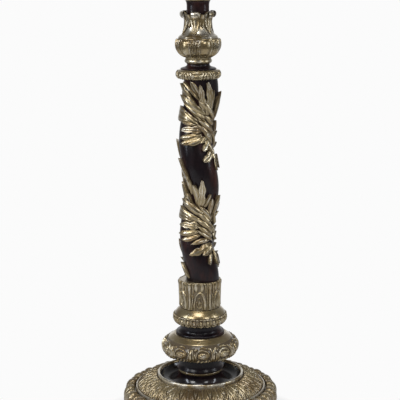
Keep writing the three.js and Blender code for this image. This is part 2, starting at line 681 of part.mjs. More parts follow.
// Collar and vase
function collar() {
  const outline = new THREE.Path();
  outline.moveTo(UPPER_BORE, 0);
  outline.lineTo(COLLAR_BOTTOM_RADIUS, 0);
  outline.quadraticCurveTo(
    COLLAR_RADIUS, COLLAR_BELLY_HEIGHT / 2, COLLAR_RADIUS, COLLAR_BELLY_HEIGHT);
  outline.quadraticCurveTo(
    COLLAR_RADIUS, COLLAR_HEIGHT, COLLAR_BOTTOM_RADIUS, COLLAR_HEIGHT);
  outline.lineTo(UPPER_BORE, COLLAR_HEIGHT);
  outline.lineTo(UPPER_BORE, 0);
  return carve(turned(outline, COLLAR_LOBES * 2), {
    lobes: COLLAR_LOBES,
    cutAt: roundLobe(COLLAR_LOBE_DEPTH),
    radius: UPPER_BORE,
    height: COLLAR_HEIGHT / 2,
    from: COLLAR_BOTTOM_RADIUS + COLLAR_LOBE_DEPTH,
  });
}

function bulb() {
  const outline = new THREE.Path();
  outline.moveTo(UPPER_BORE, 0);
  outline.lineTo(BULB_BOTTOM_RADIUS, 0);
  outline.lineTo(BULB_BOTTOM_RADIUS + BULB_FOOT_FLARE, BULB_FOOT_HEIGHT);
  outline.quadraticCurveTo(BULB_RADIUS, BULB_BELLY_HEIGHT / 2, BULB_RADIUS, BULB_BELLY_HEIGHT);
  outline.quadraticCurveTo(BULB_RADIUS, BULB_HEIGHT, BULB_TOP_RADIUS, BULB_HEIGHT);
  outline.lineTo(UPPER_BORE, BULB_HEIGHT);
  outline.lineTo(UPPER_BORE, 0);
  return carve(turned(outline, BULB_LOBES * 4, VASE_LEAF_TURN), {
    lobes: BULB_LOBES,
    turn: VASE_LEAF_TURN,
    cutAt: roundLobe(BULB_LOBE_DEPTH),
    radius: UPPER_BORE,
    height: BULB_HEIGHT / 2,
    from: BULB_TOP_RADIUS + GLUE_LINE,
  });
}

// A leaf that rises up the vase's neck and rolls over at its tip
function vaseLeaf(turn) {
  const out = new THREE.Vector3(Math.sin(turn * DEGREE), -Math.cos(turn * DEGREE), 0);
  const side = new THREE.Vector3(Math.cos(turn * DEGREE), Math.sin(turn * DEGREE), 0);
  const top = VASE_HEIGHT + VASE_LEAF_RISE;
  const midrib = [
    { r: VASE_NECK_RADIUS + 4, z: VASE_HEIGHT * 0.5, width: 0.2, lean: 0.1 },
    { r: VASE_NECK_RADIUS + 2, z: VASE_HEIGHT * 0.85, width: 0.8, lean: 0 },
    { r: VASE_NECK_RADIUS + 3, z: VASE_HEIGHT + VASE_LEAF_RISE * 0.45, width: 1, lean: -0.2 },
    { r: VASE_NECK_RADIUS + 9, z: top - 3, width: 0.9, lean: -0.9 },
    { r: VASE_LEAF_RADIUS - 1, z: top - 8, width: 0.35, lean: -2 },
  ];
  return leafSolid(midrib.map(({ r, z, width, lean }) => ({
    place: out.clone().multiplyScalar(r).setZ(z),
    side,
    out: out.clone().multiplyScalar(Math.cos(lean)).setZ(-Math.sin(lean)),
    halfWidth: (VASE_LEAF_WIDTH / 2) * width,
    thickness: LEAF_THICKNESS,
  })));
}

function vase() {
  const outline = new THREE.Path();
  outline.moveTo(UPPER_BORE, 0);
  outline.lineTo(VASE_SHOULDER_RADIUS, 0);
  outline.quadraticCurveTo(VASE_NECK_RADIUS, VASE_HEIGHT / 2, VASE_NECK_RADIUS, VASE_HEIGHT);
  outline.lineTo(UPPER_BORE, VASE_HEIGHT);
  outline.lineTo(UPPER_BORE, 0);
  let solid = toSolid(turned(outline));
  for (let number = 0; number < VASE_LEAVES; number += 1) {
    solid = solid.add(vaseLeaf(VASE_LEAF_TURN + (360 / VASE_LEAVES) * number));
  }
  const neckSpace = cylinder(
    UPPER_NECK_RADIUS + GLUE_LINE * 2, VASE_HEIGHT, VASE_HEIGHT + UPPER_NECK_HEIGHT);
  return toGeometry(solid.subtract(toSolid(neckSpace)));
}

function upperNeck() {
  const outline = new THREE.Path();
  outline.moveTo(UPPER_BORE, 0);
  outline.lineTo(UPPER_NECK_RADIUS, 0);
  outline.lineTo(UPPER_NECK_RADIUS, UPPER_NECK_HEIGHT - UPPER_NECK_FLARE_HEIGHT);
  outline.lineTo(UPPER_NECK_TOP_RADIUS, UPPER_NECK_HEIGHT);
  outline.lineTo(UPPER_BORE, UPPER_NECK_HEIGHT);
  outline.lineTo(UPPER_BORE, 0);
  return outline;
}

add('collar_ring', collar(), gilt, COLLAR_FLOOR);
add('collar_scotia', turned(scotia(
  UPPER_BORE, COLLAR_SCOTIA_FOOT_RADIUS, COLLAR_SCOTIA_NECK_RADIUS,
  COLLAR_SCOTIA_NECK_RADIUS, COLLAR_SCOTIA_HEIGHT)), ebonised, COLLAR_SCOTIA_FLOOR);
add('vase_ring', turned(bead(UPPER_BORE, VASE_RING_RADIUS, VASE_RING_HEIGHT)), gilt, VASE_RING_FLOOR);
add('gadrooned_bulb', bulb(), gilt, BULB_FLOOR);
add('leafed_vase', vase(), gilt, VASE_FLOOR);
add('upper_neck', turned(upperNeck()), ebonised, UPPER_NECK_FLOOR);

// Top: bead, trumpet flare with a tenon, the round board and its carved rim
function flare() {
  const outline = new THREE.Path();
  outline.moveTo(0, SOCKET_DEPTH_IN_FLARE);
  outline.lineTo(UPPER_BORE, SOCKET_DEPTH_IN_FLARE);
  outline.lineTo(UPPER_BORE, 0);
  outline.lineTo(FLARE_NECK_RADIUS, 0);
  const underEdge = FLARE_HEIGHT - FLARE_EDGE_HEIGHT;
  outline.quadraticCurveTo(
    FLARE_NECK_RADIUS, underEdge - FLARE_EDGE_HEIGHT, FLARE_RADIUS, underEdge);
  outline.lineTo(FLARE_RADIUS, FLARE_HEIGHT);
  outline.lineTo(TOP_TENON_RADIUS, FLARE_HEIGHT);
  outline.lineTo(TOP_TENON_RADIUS, FLARE_HEIGHT + TOP_TENON_HEIGHT);
  outline.lineTo(0, FLARE_HEIGHT + TOP_TENON_HEIGHT);
  return outline;
}

function topBoard() {
  const socket = TOP_TENON_RADIUS + GLUE_LINE;
  const outline = new THREE.Path();
  outline.moveTo(0, TOP_TENON_HEIGHT);
  outline.lineTo(socket, TOP_TENON_HEIGHT);
  outline.lineTo(socket, 0);
  outline.lineTo(BOARD_RADIUS, 0);
  outline.lineTo(BOARD_RADIUS, BOARD_HEIGHT);
  outline.lineTo(0, BOARD_HEIGHT);
  return outline;
}

function topRim() {
  const inner = BOARD_RADIUS + GLUE_LINE;
  const outline = new THREE.Path();
  outline.moveTo(inner, 0);
  outline.lineTo(inner + TOP_RIM_LOBE_DEPTH, 0);
  outline.quadraticCurveTo(TOP_RIM_RADIUS, 0, TOP_RIM_RADIUS, TOP_RIM_SWELL_HEIGHT);
  outline.lineTo(TOP_RIM_RADIUS - TOP_RIM_LOBE_DEPTH, TOP_RIM_HEIGHT);
  outline.lineTo(inner, TOP_RIM_HEIGHT);
  outline.lineTo(inner, 0);
  return carve(turned(outline, TOP_RIM_LOBES * 2), {
    lobes: TOP_RIM_LOBES,
    cutAt: roundLobe(TOP_RIM_LOBE_DEPTH),
    radius: inner,
    height: TOP_RIM_HEIGHT,
    from: TOP_RIM_RADIUS - TOP_RIM_LOBE_DEPTH / 2,
  });
}

add('top_bead', turned(bead(UPPER_BORE, TOP_BEAD_RADIUS, TOP_BEAD_HEIGHT)), gilt, TOP_BEAD_FLOOR);
add('top_flare', turned(flare(), FLARE_STEPS), ebonised, FLARE_FLOOR);
add('top_board', turned(topBoard(), BOARD_STEPS), ebonised, BOARD_FLOOR);
add('top_rim', topRim(), gilt, BOARD_FLOOR);

// The two long dowels that the sections are threaded on
add('lower_dowel', cylinder(
  LOWER_DOWEL_RADIUS, PLINTH_FLOOR, SHAFT_FLOOR + SOCKET_DEPTH_IN_SHAFT - GLUE_LINE), bareWood);
add('upper_dowel', cylinder(
  UPPER_DOWEL_RADIUS,
  SHAFT_FLOOR + SHAFT_HEIGHT - SOCKET_DEPTH_IN_SHAFT + GLUE_LINE,
  FLARE_FLOOR + SOCKET_DEPTH_IN_FLARE - GLUE_LINE), bareWood);

export default stand;
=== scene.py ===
import math

import bpy
import numpy as np
from mathutils import Matrix, Vector


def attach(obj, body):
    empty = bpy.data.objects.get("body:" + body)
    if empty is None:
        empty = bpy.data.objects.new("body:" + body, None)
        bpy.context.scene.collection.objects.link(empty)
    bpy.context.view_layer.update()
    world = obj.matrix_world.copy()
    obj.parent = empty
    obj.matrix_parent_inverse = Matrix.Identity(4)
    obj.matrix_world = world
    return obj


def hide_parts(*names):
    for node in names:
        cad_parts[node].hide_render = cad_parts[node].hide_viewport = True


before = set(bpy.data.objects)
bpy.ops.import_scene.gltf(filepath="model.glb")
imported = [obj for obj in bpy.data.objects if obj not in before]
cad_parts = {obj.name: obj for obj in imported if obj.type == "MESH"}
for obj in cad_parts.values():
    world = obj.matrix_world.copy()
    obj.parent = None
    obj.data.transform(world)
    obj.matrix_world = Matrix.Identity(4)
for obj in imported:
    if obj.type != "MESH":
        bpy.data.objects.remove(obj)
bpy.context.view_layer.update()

# ---- Feet --------------------------------------------------
# Three bun feet of turned beech, stained black and polished. Each is glued on a
# dowel under the plinth board.

MM = 0.001
WELD = 0.01 * MM
SMOOTH_BELOW = math.radians(32)


def corners(*points):
    """Sharp corners of an outline: each is given twice, which breaks the curve there."""
    return [point for point in points for _ in range(2)]


def bored(bore, start, end, outline):
    """An outline that runs from one end of a bore round the outside to its other end,
    and closes along it. bore is a radius, start and end are heights."""
    return [*corners((bore, start)), *outline, *corners((bore, end)), (bore, start)]


def eased(points, spacing):
    """A smooth line through the points of an outline, in millimetres, in steps no longer
    than spacing. A point given twice stays a sharp corner."""
    points = [np.array(p, float) for p in points]
    line = [points[0]]
    for i in range(len(points) - 1):
        here, after = points[i], points[i + 1]
        length = float(np.linalg.norm(after - here))
        if length == 0:
            continue
        before = points[max(i - 1, 0)]
        beyond = points[min(i + 2, len(points) - 1)]
        steps = max(1, math.ceil(length / spacing))
        for step in range(1, steps + 1):
            t = step / steps
            line.append(0.5 * (
                2 * here + (after - before) * t
                + (2 * before - 5 * here + 4 * after - beyond) * t ** 2
                + (3 * here - before - 3 * after + beyond) * t ** 3))
    return line


def turned(name, outline, steps, place=(0, 0)):
    """Draws an outline beside the lathe's axis, point by point, and turns it."""
    bpy.ops.object.select_all(action='DESELECT')
    bpy.ops.mesh.primitive_plane_add(size=MM, enter_editmode=True)
    piece = bpy.context.object
    piece.name = name
    bpy.ops.mesh.merge(type='CENTER')
    last = np.zeros(2)
    for number, point in enumerate(outline):
        move = (float(point[0] - last[0]) * MM, 0, float(point[1] - last[1]) * MM)
        if number == 0:
            bpy.ops.transform.translate(value=move)
        else:
            bpy.ops.mesh.extrude_region_move(TRANSFORM_OT_translate={'value': move})
        last = point
    bpy.ops.object.mode_set(mode='OBJECT')
    lathe = piece.modifiers.new('lathe', 'SCREW')
    lathe.steps = lathe.render_steps = steps
    lathe.use_merge_vertices = True
    lathe.merge_threshold = WELD
    bpy.ops.object.modifier_apply(modifier='lathe')
    bpy.ops.object.mode_set(mode='EDIT')
    bpy.ops.mesh.select_all(action='SELECT')
    bpy.ops.mesh.remove_doubles(threshold=WELD)
    bpy.ops.mesh.normals_make_consistent(inside=False)
    bpy.ops.transform.translate(value=(place[0] * MM, place[1] * MM, 0))
    bpy.ops.object.mode_set(mode='OBJECT')
    bpy.ops.object.shade_smooth_by_angle(angle=SMOOTH_BELOW)
    return piece


def joiner(tree):
    """A way to add a node to a tree, with its values and with what is linked into its
    first inputs, or into those that are named."""
    def node(kind, values=None, *first, **named):
        made = tree.nodes.new('ShaderNode' + kind)
        for key, value in (values or {}).items():
            if key in made.inputs:
                made.inputs[key].default_value = value
            else:
                setattr(made, key, value)
        for key, link in [*enumerate(first), *named.items()]:
            tree.links.new(link, made.inputs[key])
        return made

    return node


def shader(name):
    """A material with its shader, its place on the object and a way to add nodes."""
    finish = bpy.data.materials.new(name)
    finish.use_nodes = True
    tree = finish.node_tree
    node = joiner(tree)
    return finish, tree, tree.nodes['Principled BSDF'], node('TexCoord').outputs['Object'], node


def speckle(node, place, scale, detail, rough, stretch=(1, 1, 1)):
    """A patchy noise on the object, stretched along its grain."""
    where = node('Mapping', {'Scale': stretch}, Vector=place).outputs[0]
    return node('TexNoise', {'Scale': scale, 'Detail': detail, 'Roughness': rough},
                Vector=where).outputs['Fac']


def ramp(node, level, *stops):
    """Turns a level into a colour, by stops of (level, colour)."""
    made = node('ValToRGB', Fac=level)
    points = made.color_ramp.elements
    while len(points) < len(stops):
        points.new(0.5)
    for point, (at, colour) in zip(points, stops):
        point.position = at
        point.color = (*colour, 1)
    return made.outputs['Color']


def ebonised_finish(name, coat):
    """Black stain, red-brown where it is rubbed, under a thin or a thick polish."""
    finish, tree, surface, place, node = shader(name)
    cloud = speckle(node, place, 9, 5, 0.65, (1, 1, 0.45))
    grain = speckle(node, place, 60, 6, 0.7, (1, 1, 0.06))
    colour = ramp(node, cloud, (0.38, (0.0046, 0.0030, 0.0048)),
                  (0.50, (0.0100, 0.0050, 0.0062)), (0.60, (0.034, 0.0100, 0.0078)),
                  (0.74, (0.080, 0.022, 0.013)))
    pores = ramp(node, grain, (0.35, (0.45, 0.42, 0.42)), (0.6, (1, 1, 1)))
    mixed = node('Mix', {'data_type': 'RGBA', 'blend_type': 'MULTIPLY'})
    mixed.inputs['Factor'].default_value = 0.8
    tree.links.new(colour, mixed.inputs[6])
    tree.links.new(pores, mixed.inputs[7])
    tree.links.new(mixed.outputs[2], surface.inputs['Base Color'])
    polish = node('MapRange', {'From Min': 0.3, 'From Max': 0.75, 'To Min': 0.24,
                               'To Max': 0.46}, cloud).outputs[0]
    tree.links.new(polish, surface.inputs['Roughness'])
    surface.inputs['Specular IOR Level'].default_value = 0.2
    surface.inputs['Coat Weight'].default_value = coat
    surface.inputs['Coat Roughness'].default_value = 0.12
    wave = speckle(node, place, 34, 3, 0.5)
    dents = node('Bump', {'Strength': 0.16, 'Distance': 0.0016}, Height=wave).outputs[0]
    rough = node('Bump', {'Strength': 0.10, 'Distance': 0.0008}, Height=grain, Normal=dents)
    tree.links.new(rough.outputs[0], surface.inputs['Normal'])
    return finish


def finished(piece, finish, node):
    """Gives a piece the material of its finish, in place of its CAD node; the slot that comes with
    the finish is not used.
    """
    material, slot = finish
    piece.data.materials.clear()
    piece.data.materials.append(material)
    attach(piece, 'root')
    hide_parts(node)


ebonised = (ebonised_finish('ebonised', coat=0.12), 'ebonised_wood')
FEET = 3
FOOT_CIRCLE = 146
FOOT_BORE = 9.3
ON_AXIS = 0.01
foot_outline = bored(FOOT_BORE, 48, 28, [
    *corners((21, 48), (21, 43.5)), (24, 42), *corners((26, 40.5)), (30, 37), (33.2, 29),
    (34, 20), (32.5, 11), (28, 4), (21.5, 0.4), *corners((20, 0), (ON_AXIS, 0), (ON_AXIS, 28))])
for number in range(FEET):
    turn = 2 * math.pi * number / FEET
    foot = turned(f'bun_foot_{number + 1}', eased(foot_outline, 3), 64,
                  (FOOT_CIRCLE * math.sin(turn), -FOOT_CIRCLE * math.cos(turn)))
    finished(foot, ebonised, f'foot_{number + 1}')

# ---- Plinth board ------------------------------------------
# A round board of glued-up pine with a moulded edge, stained black. It carries the
# carved base and takes the three foot dowels.

LOWER_BORE = 16.3
plinth = turned('moulded_plinth', eased(bored(LOWER_BORE, 48.3, 65.7, [
    *corners((180, 48.3)), (186, 49.5), (190, 53),
    *corners((191, 58), (187.5, 59.5), (187.5, 65.7))]), 8), steps=160)
finished(plinth, ebonised, 'plinth_board')

# ---- Carved base -------------------------------------------
# A heavy ring of limewood, carved with a row of rounded leaves round a flat seat. It
# is gessoed, silvered and toned with a brown-gold lacquer, worn bright on the crests.


def gilt_finish():
    """Silver leaf under a brown-gold lacquer: bare silver where it is rubbed, and a dark painted
    shade in the cuts and wherever the wood is close to other wood, with a dull brown tone on some
    pieces."""
    finish, tree, surface, place, node = shader('silver_gilt')

    def mix(low, high, level):
        made = node('Mix', {'data_type': 'RGBA'}, level)
        for socket, colour in ((6, low), (7, high)):
            if isinstance(colour, tuple):
                made.inputs[socket].default_value = (*colour, 1)
            else:
                tree.links.new(colour, made.inputs[socket])
        return made.outputs[2]

    def level(value, low, high, least=0.0, most=1.0):
        return node('MapRange', {'From Min': low, 'From Max': high, 'To Min': least,
                                 'To Max': most}, value).outputs[0]

    def carving(name):
        return node('Attribute', {'attribute_name': name}).outputs['Fac']

    def reckoned(operation, *values):
        return node('Math', {'operation': operation}, *values).outputs[0]

    cloud = speckle(node, place, 16, 5, 0.6)
    patches = speckle(node, place, 47, 6, 0.7)
    fine = speckle(node, place, 260, 4, 0.65)
    lacquer = ramp(node, cloud, (0.30, (0.190, 0.118, 0.048)), (0.48, (0.325, 0.244, 0.120)),
                   (0.62, (0.400, 0.322, 0.180)), (0.78, (0.480, 0.415, 0.290)))
    silver = ramp(node, fine, (0.3, (0.62, 0.57, 0.46)), (0.7, (0.84, 0.80, 0.70)))
    colour = mix(lacquer, silver, level(patches, 0.60, 0.78))
    rubbed = reckoned('MULTIPLY', carving('rub'), level(patches, 0.40, 0.58))
    colour = mix(colour, silver, rubbed)
    # Painted shade: ambient occlusion and the cut mark darken the colour towards dark brown and
    # make it less metallic and rougher there. The cut mark also carries a dull all-over tone.
    shade = node('AmbientOcclusion', {'samples': 6, 'Distance': 0.014}).outputs['AO']
    painted_shade_and_tone = reckoned('MAXIMUM', level(shade, 0.75, 0.25), carving('cut'))
    colour = mix(colour, (0.048, 0.031, 0.014), level(painted_shade_and_tone, 0.15, 0.95, 0.0, 0.90))
    tree.links.new(colour, surface.inputs['Base Color'])
    tree.links.new(level(painted_shade_and_tone, 0.2, 0.9, 0.92, 0.25), surface.inputs['Metallic'])
    matt = level(painted_shade_and_tone, 0.2, 0.9, 0.0, 0.75)
    matt = reckoned('MAXIMUM', level(patches, 0.3, 0.7, 0.35, 0.25), matt)
    tree.links.new(matt, surface.inputs['Roughness'])
    surface.inputs['Coat Weight'].default_value = 0.75
    surface.inputs['Coat Roughness'].default_value = 0.13
    chisel = node('Bump', {'Strength': 0.16, 'Distance': 0.0022}, Height=patches).outputs[0]
    grit = node('Bump', {'Strength': 0.07, 'Distance': 0.0006}, Height=fine, Normal=chisel)
    tree.links.new(grit.outputs[0], surface.inputs['Normal'])
    return finish


def standing(across, along, ribs):
    """How high the wood stands where the carver has left ribs. Each rib is a line of
    points (across, along, half width, rise) in millimetres, round on top."""
    height = np.zeros(len(across))
    for rib in ribs:
        line = eased(rib, 4.0)
        for start, end in zip(line, line[1:]):
            step = end[:2] - start[:2]
            length = float(step @ step)
            t = (across - start[0]) * step[0] + (along - start[1]) * step[1]
            t = np.clip(t / length, 0, 1)
            gap = np.hypot(across - start[0] - t * step[0], along - start[1] - t * step[1])
            width = start[2] + t * (end[2] - start[2])
            rise = start[3] + t * (end[3] - start[3])
            height = np.maximum(height, rise * np.sqrt(np.clip(1 - (gap / width) ** 2, 0, 1)))
    return height


def points_of(piece):
    """The places of a piece's points, as rows of x, y and z in metres."""
    spots = np.empty(len(piece.data.vertices) * 3)
    piece.data.vertices.foreach_get('co', spots)
    return spots.reshape(-1, 3)


ON_BAND = 0.1
RUN_OUT = 1.5
SHADED_BELOW = 0.45
RUBBED_ABOVE = 0.55
RUBBED_SPAN = 0.4


def carve(piece, band, cells, relief, radius, depth, phase=0.0, dark=1.0, worn=1.0,
          dull=0.0):
    """Carves the band of a turned piece, one cell after another round it. relief gives the height
    at a distance across the cell, measured at the radius, and a distance along the band; the
    highest wood stands out by depth. dark is how strongly the cuts are darkened with painted
    shade, worn is how rubbed the crests are, and dull tones the band all over."""
    mesh = piece.data
    spots = points_of(piece) / MM
    band = np.array(band)
    way = np.gradient(band, axis=0)
    out = np.stack([way[:, 1], -way[:, 0]], axis=1)
    out /= np.linalg.norm(out, axis=1)[:, None]
    passed = np.concatenate([[0], np.cumsum(np.linalg.norm(np.diff(band, axis=0), axis=1))])
    reach = np.hypot(spots[:, 0], spots[:, 1])
    gaps = (reach[:, None] - band[:, 0]) ** 2 + (spots[:, 2][:, None] - band[:, 1]) ** 2
    nearest = gaps.argmin(axis=1)
    inside = gaps[np.arange(len(spots)), nearest] < ON_BAND ** 2
    turn = np.arctan2(spots[:, 0], -spots[:, 1])
    cell = 2 * math.pi / cells
    local = (turn - math.radians(phase) + cell / 2) % cell - cell / 2
    height = np.where(inside, relief(local * radius, passed[nearest]), 0.0)
    fade = np.minimum(passed[nearest], passed[-1] - passed[nearest])
    lifted = height * np.clip(fade / RUN_OUT, 0, 1)
    reach += out[nearest, 0] * lifted
    spots[:, 2] += out[nearest, 1] * lifted
    spots[:, 0] = reach * np.sin(turn)
    spots[:, 1] = -reach * np.cos(turn)
    mesh.vertices.foreach_set('co', (spots * MM).ravel())
    level = np.clip(height / depth, 0, 1)
    # Painted shade: the low wood of the cuts is marked dark, and dull adds an all-over tone.
    cut = np.maximum(dark * np.clip(1 - level / SHADED_BELOW, 0, 1), dull)
    rub = worn * np.clip((level - RUBBED_ABOVE) / RUBBED_SPAN, 0, 1)
    mark(piece, np.where(inside, cut, 0.0), np.where(inside, rub, 0.0))
    mesh.update()


def mark(piece, cut, rub):
    """Notes on each point how dark it is painted, as shade deep in a cut or as a tone all over,
    and how much hands rub it.
    """
    for name, values in (('cut', cut), ('rub', rub)):
        noted = piece.data.attributes.new(name, 'FLOAT', 'POINT')
        noted.data.foreach_set('value', np.asarray(values, np.float32))


gilt = (gilt_finish(), 'gilt_wood')
TORUS_REPEATS = 24
HALF_TORUS_CELL = 27.1


def torus_leaf(across, along):
    """A large round leaf that wraps over the torus, with half a smaller one on each
    side of it and small buds between them."""
    side = np.abs(across)
    large = standing(side, along, [
        [(0, 8, 6, 4.0), (0, 20, 13.4, 6.4), (0, 34, 11.6, 5.6), (0, 50, 14.6, 8.0),
         (0, 64, 12, 7.6), (0, 75, 6.0, 5.0)]])
    small = standing(HALF_TORUS_CELL - side, along, [
        [(0, 6, 4, 3.2), (0, 26, 8.4, 5.4), (0, 40, 7.4, 4.6), (0, 56, 9.4, 6.2),
         (0, 68, 7.0, 5.6), (0, 77, 4.0, 3.6)]])
    veined = 0.78 + 0.22 * np.abs(np.cos(math.pi * (across - 0.12 * (along - 40)) / 6.0)) ** 0.6
    buds = standing(side, along, [
        [(16.6, 77, 2.2, 4.4), (16.8, 69, 2.8, 5.0), (16.6, 60, 1.6, 2.8)],
        [(14.6, 42, 2.0, 3.4), (15.8, 36, 2.4, 4.4), (15.4, 12, 2.0, 3.2)]])
    return np.maximum(np.maximum(large, small) * veined, buds)


torus_band = eased([
    (177.5, 118.2), (181.5, 120), (186.5, 120), (192, 117), (196.6, 110), (199.4, 101),
    (200, 90), (197.8, 78), (192.4, 69.5), (188, 66.4)], 1.5)[::-1]
torus_outline = [
    (LOWER_BORE, 113.7), (LOWER_BORE, 66.0), (120, 66.0), (186, 66.0), *torus_band,
    (176.2, 117), (175.4, 114), (175.4, 113.7), (100, 113.7), (LOWER_BORE, 113.7)]
torus = turned('carved_torus', torus_outline, TORUS_REPEATS * 36)
carve(torus, torus_band, TORUS_REPEATS, torus_leaf, radius=207, depth=11.0, phase=4,
      worn=0.8, dull=0.4)
finished(torus, gilt, 'base_torus')

# ---- Dome bead ---------------------------------------------
# A thin plain astragal bent round the foot of the dome and glued, gilt and much
# rubbed along its crest.


def plain(name, node, outline, steps=160, crest=None, dull=0.0):
    """A plain turned gilt piece, rubbed bright within the span of radii in crest, and
    toned darker all over by dull."""
    piece = turned(name, eased(outline, 1.2), steps)
    spots = points_of(piece) / MM
    rub = np.zeros(len(spots))
    if crest:
        reach = np.hypot(spots[:, 0], spots[:, 1])
        rub = np.clip((reach - crest[0]) / (crest[1] - crest[0]), 0, 1)
    mark(piece, np.full(len(spots), dull), rub)
    finished(piece, gilt, node)


plain('dome_astragal', 'dome_bead', bored(166.4, 114, 123.5, [
    *corners((171.5, 114)), (173, 118), (173.4, 122.5), (172.2, 126.2), (170, 127),
    (167.8, 126)]), crest=(168, 171))

# ---- Leaf dome ---------------------------------------------
# A low dome turned in limewood and carved with a wreath of radiating acanthus leaves,
# their tips towards the bead, with smaller leaves between them.

DOME_LEAVES = 24


def dome_leaf(across, along):
    """An acanthus leaf with three ribbed lobes on each side of its vein, a short leaf
    between two, and the pointed tip of an upper leaf over that."""
    side = np.abs(across)
    bend = np.where(across > 0, side, side + 0.9 * np.sin(along / 9))
    return standing(bend, along, [
        [(0, 1, 1.8, 3.4), (0, 10, 2.3, 6.0), (0, 30, 2.1, 5.8), (0, 62, 1.7, 3.6)],
        [(7.6, 3.5, 2.2, 3.6), (5.4, 14, 2.3, 5.2), (4.2, 26, 1.8, 4.6), (3.4, 44, 1.5, 3.0)],
        [(10.6, 10, 2.0, 3.4), (8.2, 20, 2.0, 4.8), (7.0, 32, 1.7, 4.6), (6.4, 50, 1.4, 3.0)],
        [(14.0, 19, 2.0, 3.4), (11.4, 27, 2.0, 5.0), (10.0, 38, 1.7, 4.8), (9.2, 58, 1.4, 3.0)],
        [(3.4, 56, 1.3, 2.6), (3.2, 62, 1.3, 2.4)],
        [(18.3, 0.5, 2.0, 3.4), (18.3, 8, 2.8, 5.4), (18.3, 24, 1.7, 3.0)],
        [(12.6, 2, 1.7, 2.6), (14.2, 9, 1.9, 4.2), (16.4, 17, 1.4, 2.6)],
        [(18.3, 28, 2.0, 7.0), (16.2, 33, 1.9, 6.6), (14.6, 43, 1.7, 5.2), (12.8, 60, 1.5, 3.4)],
        [(18.3, 38, 1.4, 3.8), (17.4, 50, 1.3, 3.8), (16.2, 61, 1.3, 3.0)]])


dome_band = eased([
    (165.9, 122), (163, 126), (156, 133.5), (147, 140.5), (136, 146.5), (125, 150.5),
    (115.5, 152.3)], 1.3)
dome_outline = [
    (LOWER_BORE, 124), (LOWER_BORE, 114), (90, 114), (165.9, 114), *dome_band,
    (114.7, 151.5), (114.7, 124), (70, 124), (LOWER_BORE, 124)]
dome = turned('acanthus_dome', dome_outline, DOME_LEAVES * 36)
carve(dome, dome_band, DOME_LEAVES, dome_leaf, radius=140, depth=9.0, phase=2.5, dull=0.33)
finished(dome, gilt, 'leaf_dome')

# ---- Well --------------------------------------------------
# The recess in the dome: a plain gilt lip, and inside it a polished ebonised dish
# that sweeps up to the foot of the column.

plain('well_lip', 'well_rim', bored(106.3, 124.3, 156, [
    *corners((114.3, 124.3), (114.3, 157)), (114, 160.5), (112, 162.6), (109.5, 162.4),
    (107.4, 160)]), crest=(108, 111))
polished = (ebonised_finish('ebonised_polished', coat=0.9), 'ebonised_wood')
dish = turned('polished_dish', eased(bored(LOWER_BORE, 124.3, 165.3, [
    *corners((106, 124.3), (106, 155.3)), (103, 148), (97, 141.5), (88, 138.3), (78, 138.6),
    (69, 142.5), (62.5, 149), (59, 157), *corners((58.2, 165.3))]), 1.8), steps=160)
finished(dish, polished, 'well_dish')

# ---- Waist bead and lower scotia ---------------------------
# A plain turned bead, gilt but toned brown, and above it the ebonised waist on which
# the knop sits. Both are threaded on the lower dowel and glued.

plain('waist_astragal', 'waist_bead', bored(LOWER_BORE, 165.6, 174.6, [
    *corners((55.5, 165.6)), (58, 167), (59, 170.1), (58, 173.2),
    *corners((55.5, 174.6))]), dull=0.62)
waist = turned('lower_waist', eased(bored(LOWER_BORE, 174.9, 214.7, [
    *corners((61.5, 174.9)), (61.7, 177), (60.5, 180), (58, 184.5), (57, 191),
    *corners((57, 198), (57, 214.7))]), 1.8), steps=128)
finished(waist, ebonised, 'lower_scotia')

# ---- Knop --------------------------------------------------
# A wide limewood knop: a smooth sloping shoulder with a fillet at its top, over a
# belly carved with ovals that alternate with scrolled leaves.

KNOP_REPEATS = 10
KNOP_CELL = 64.4


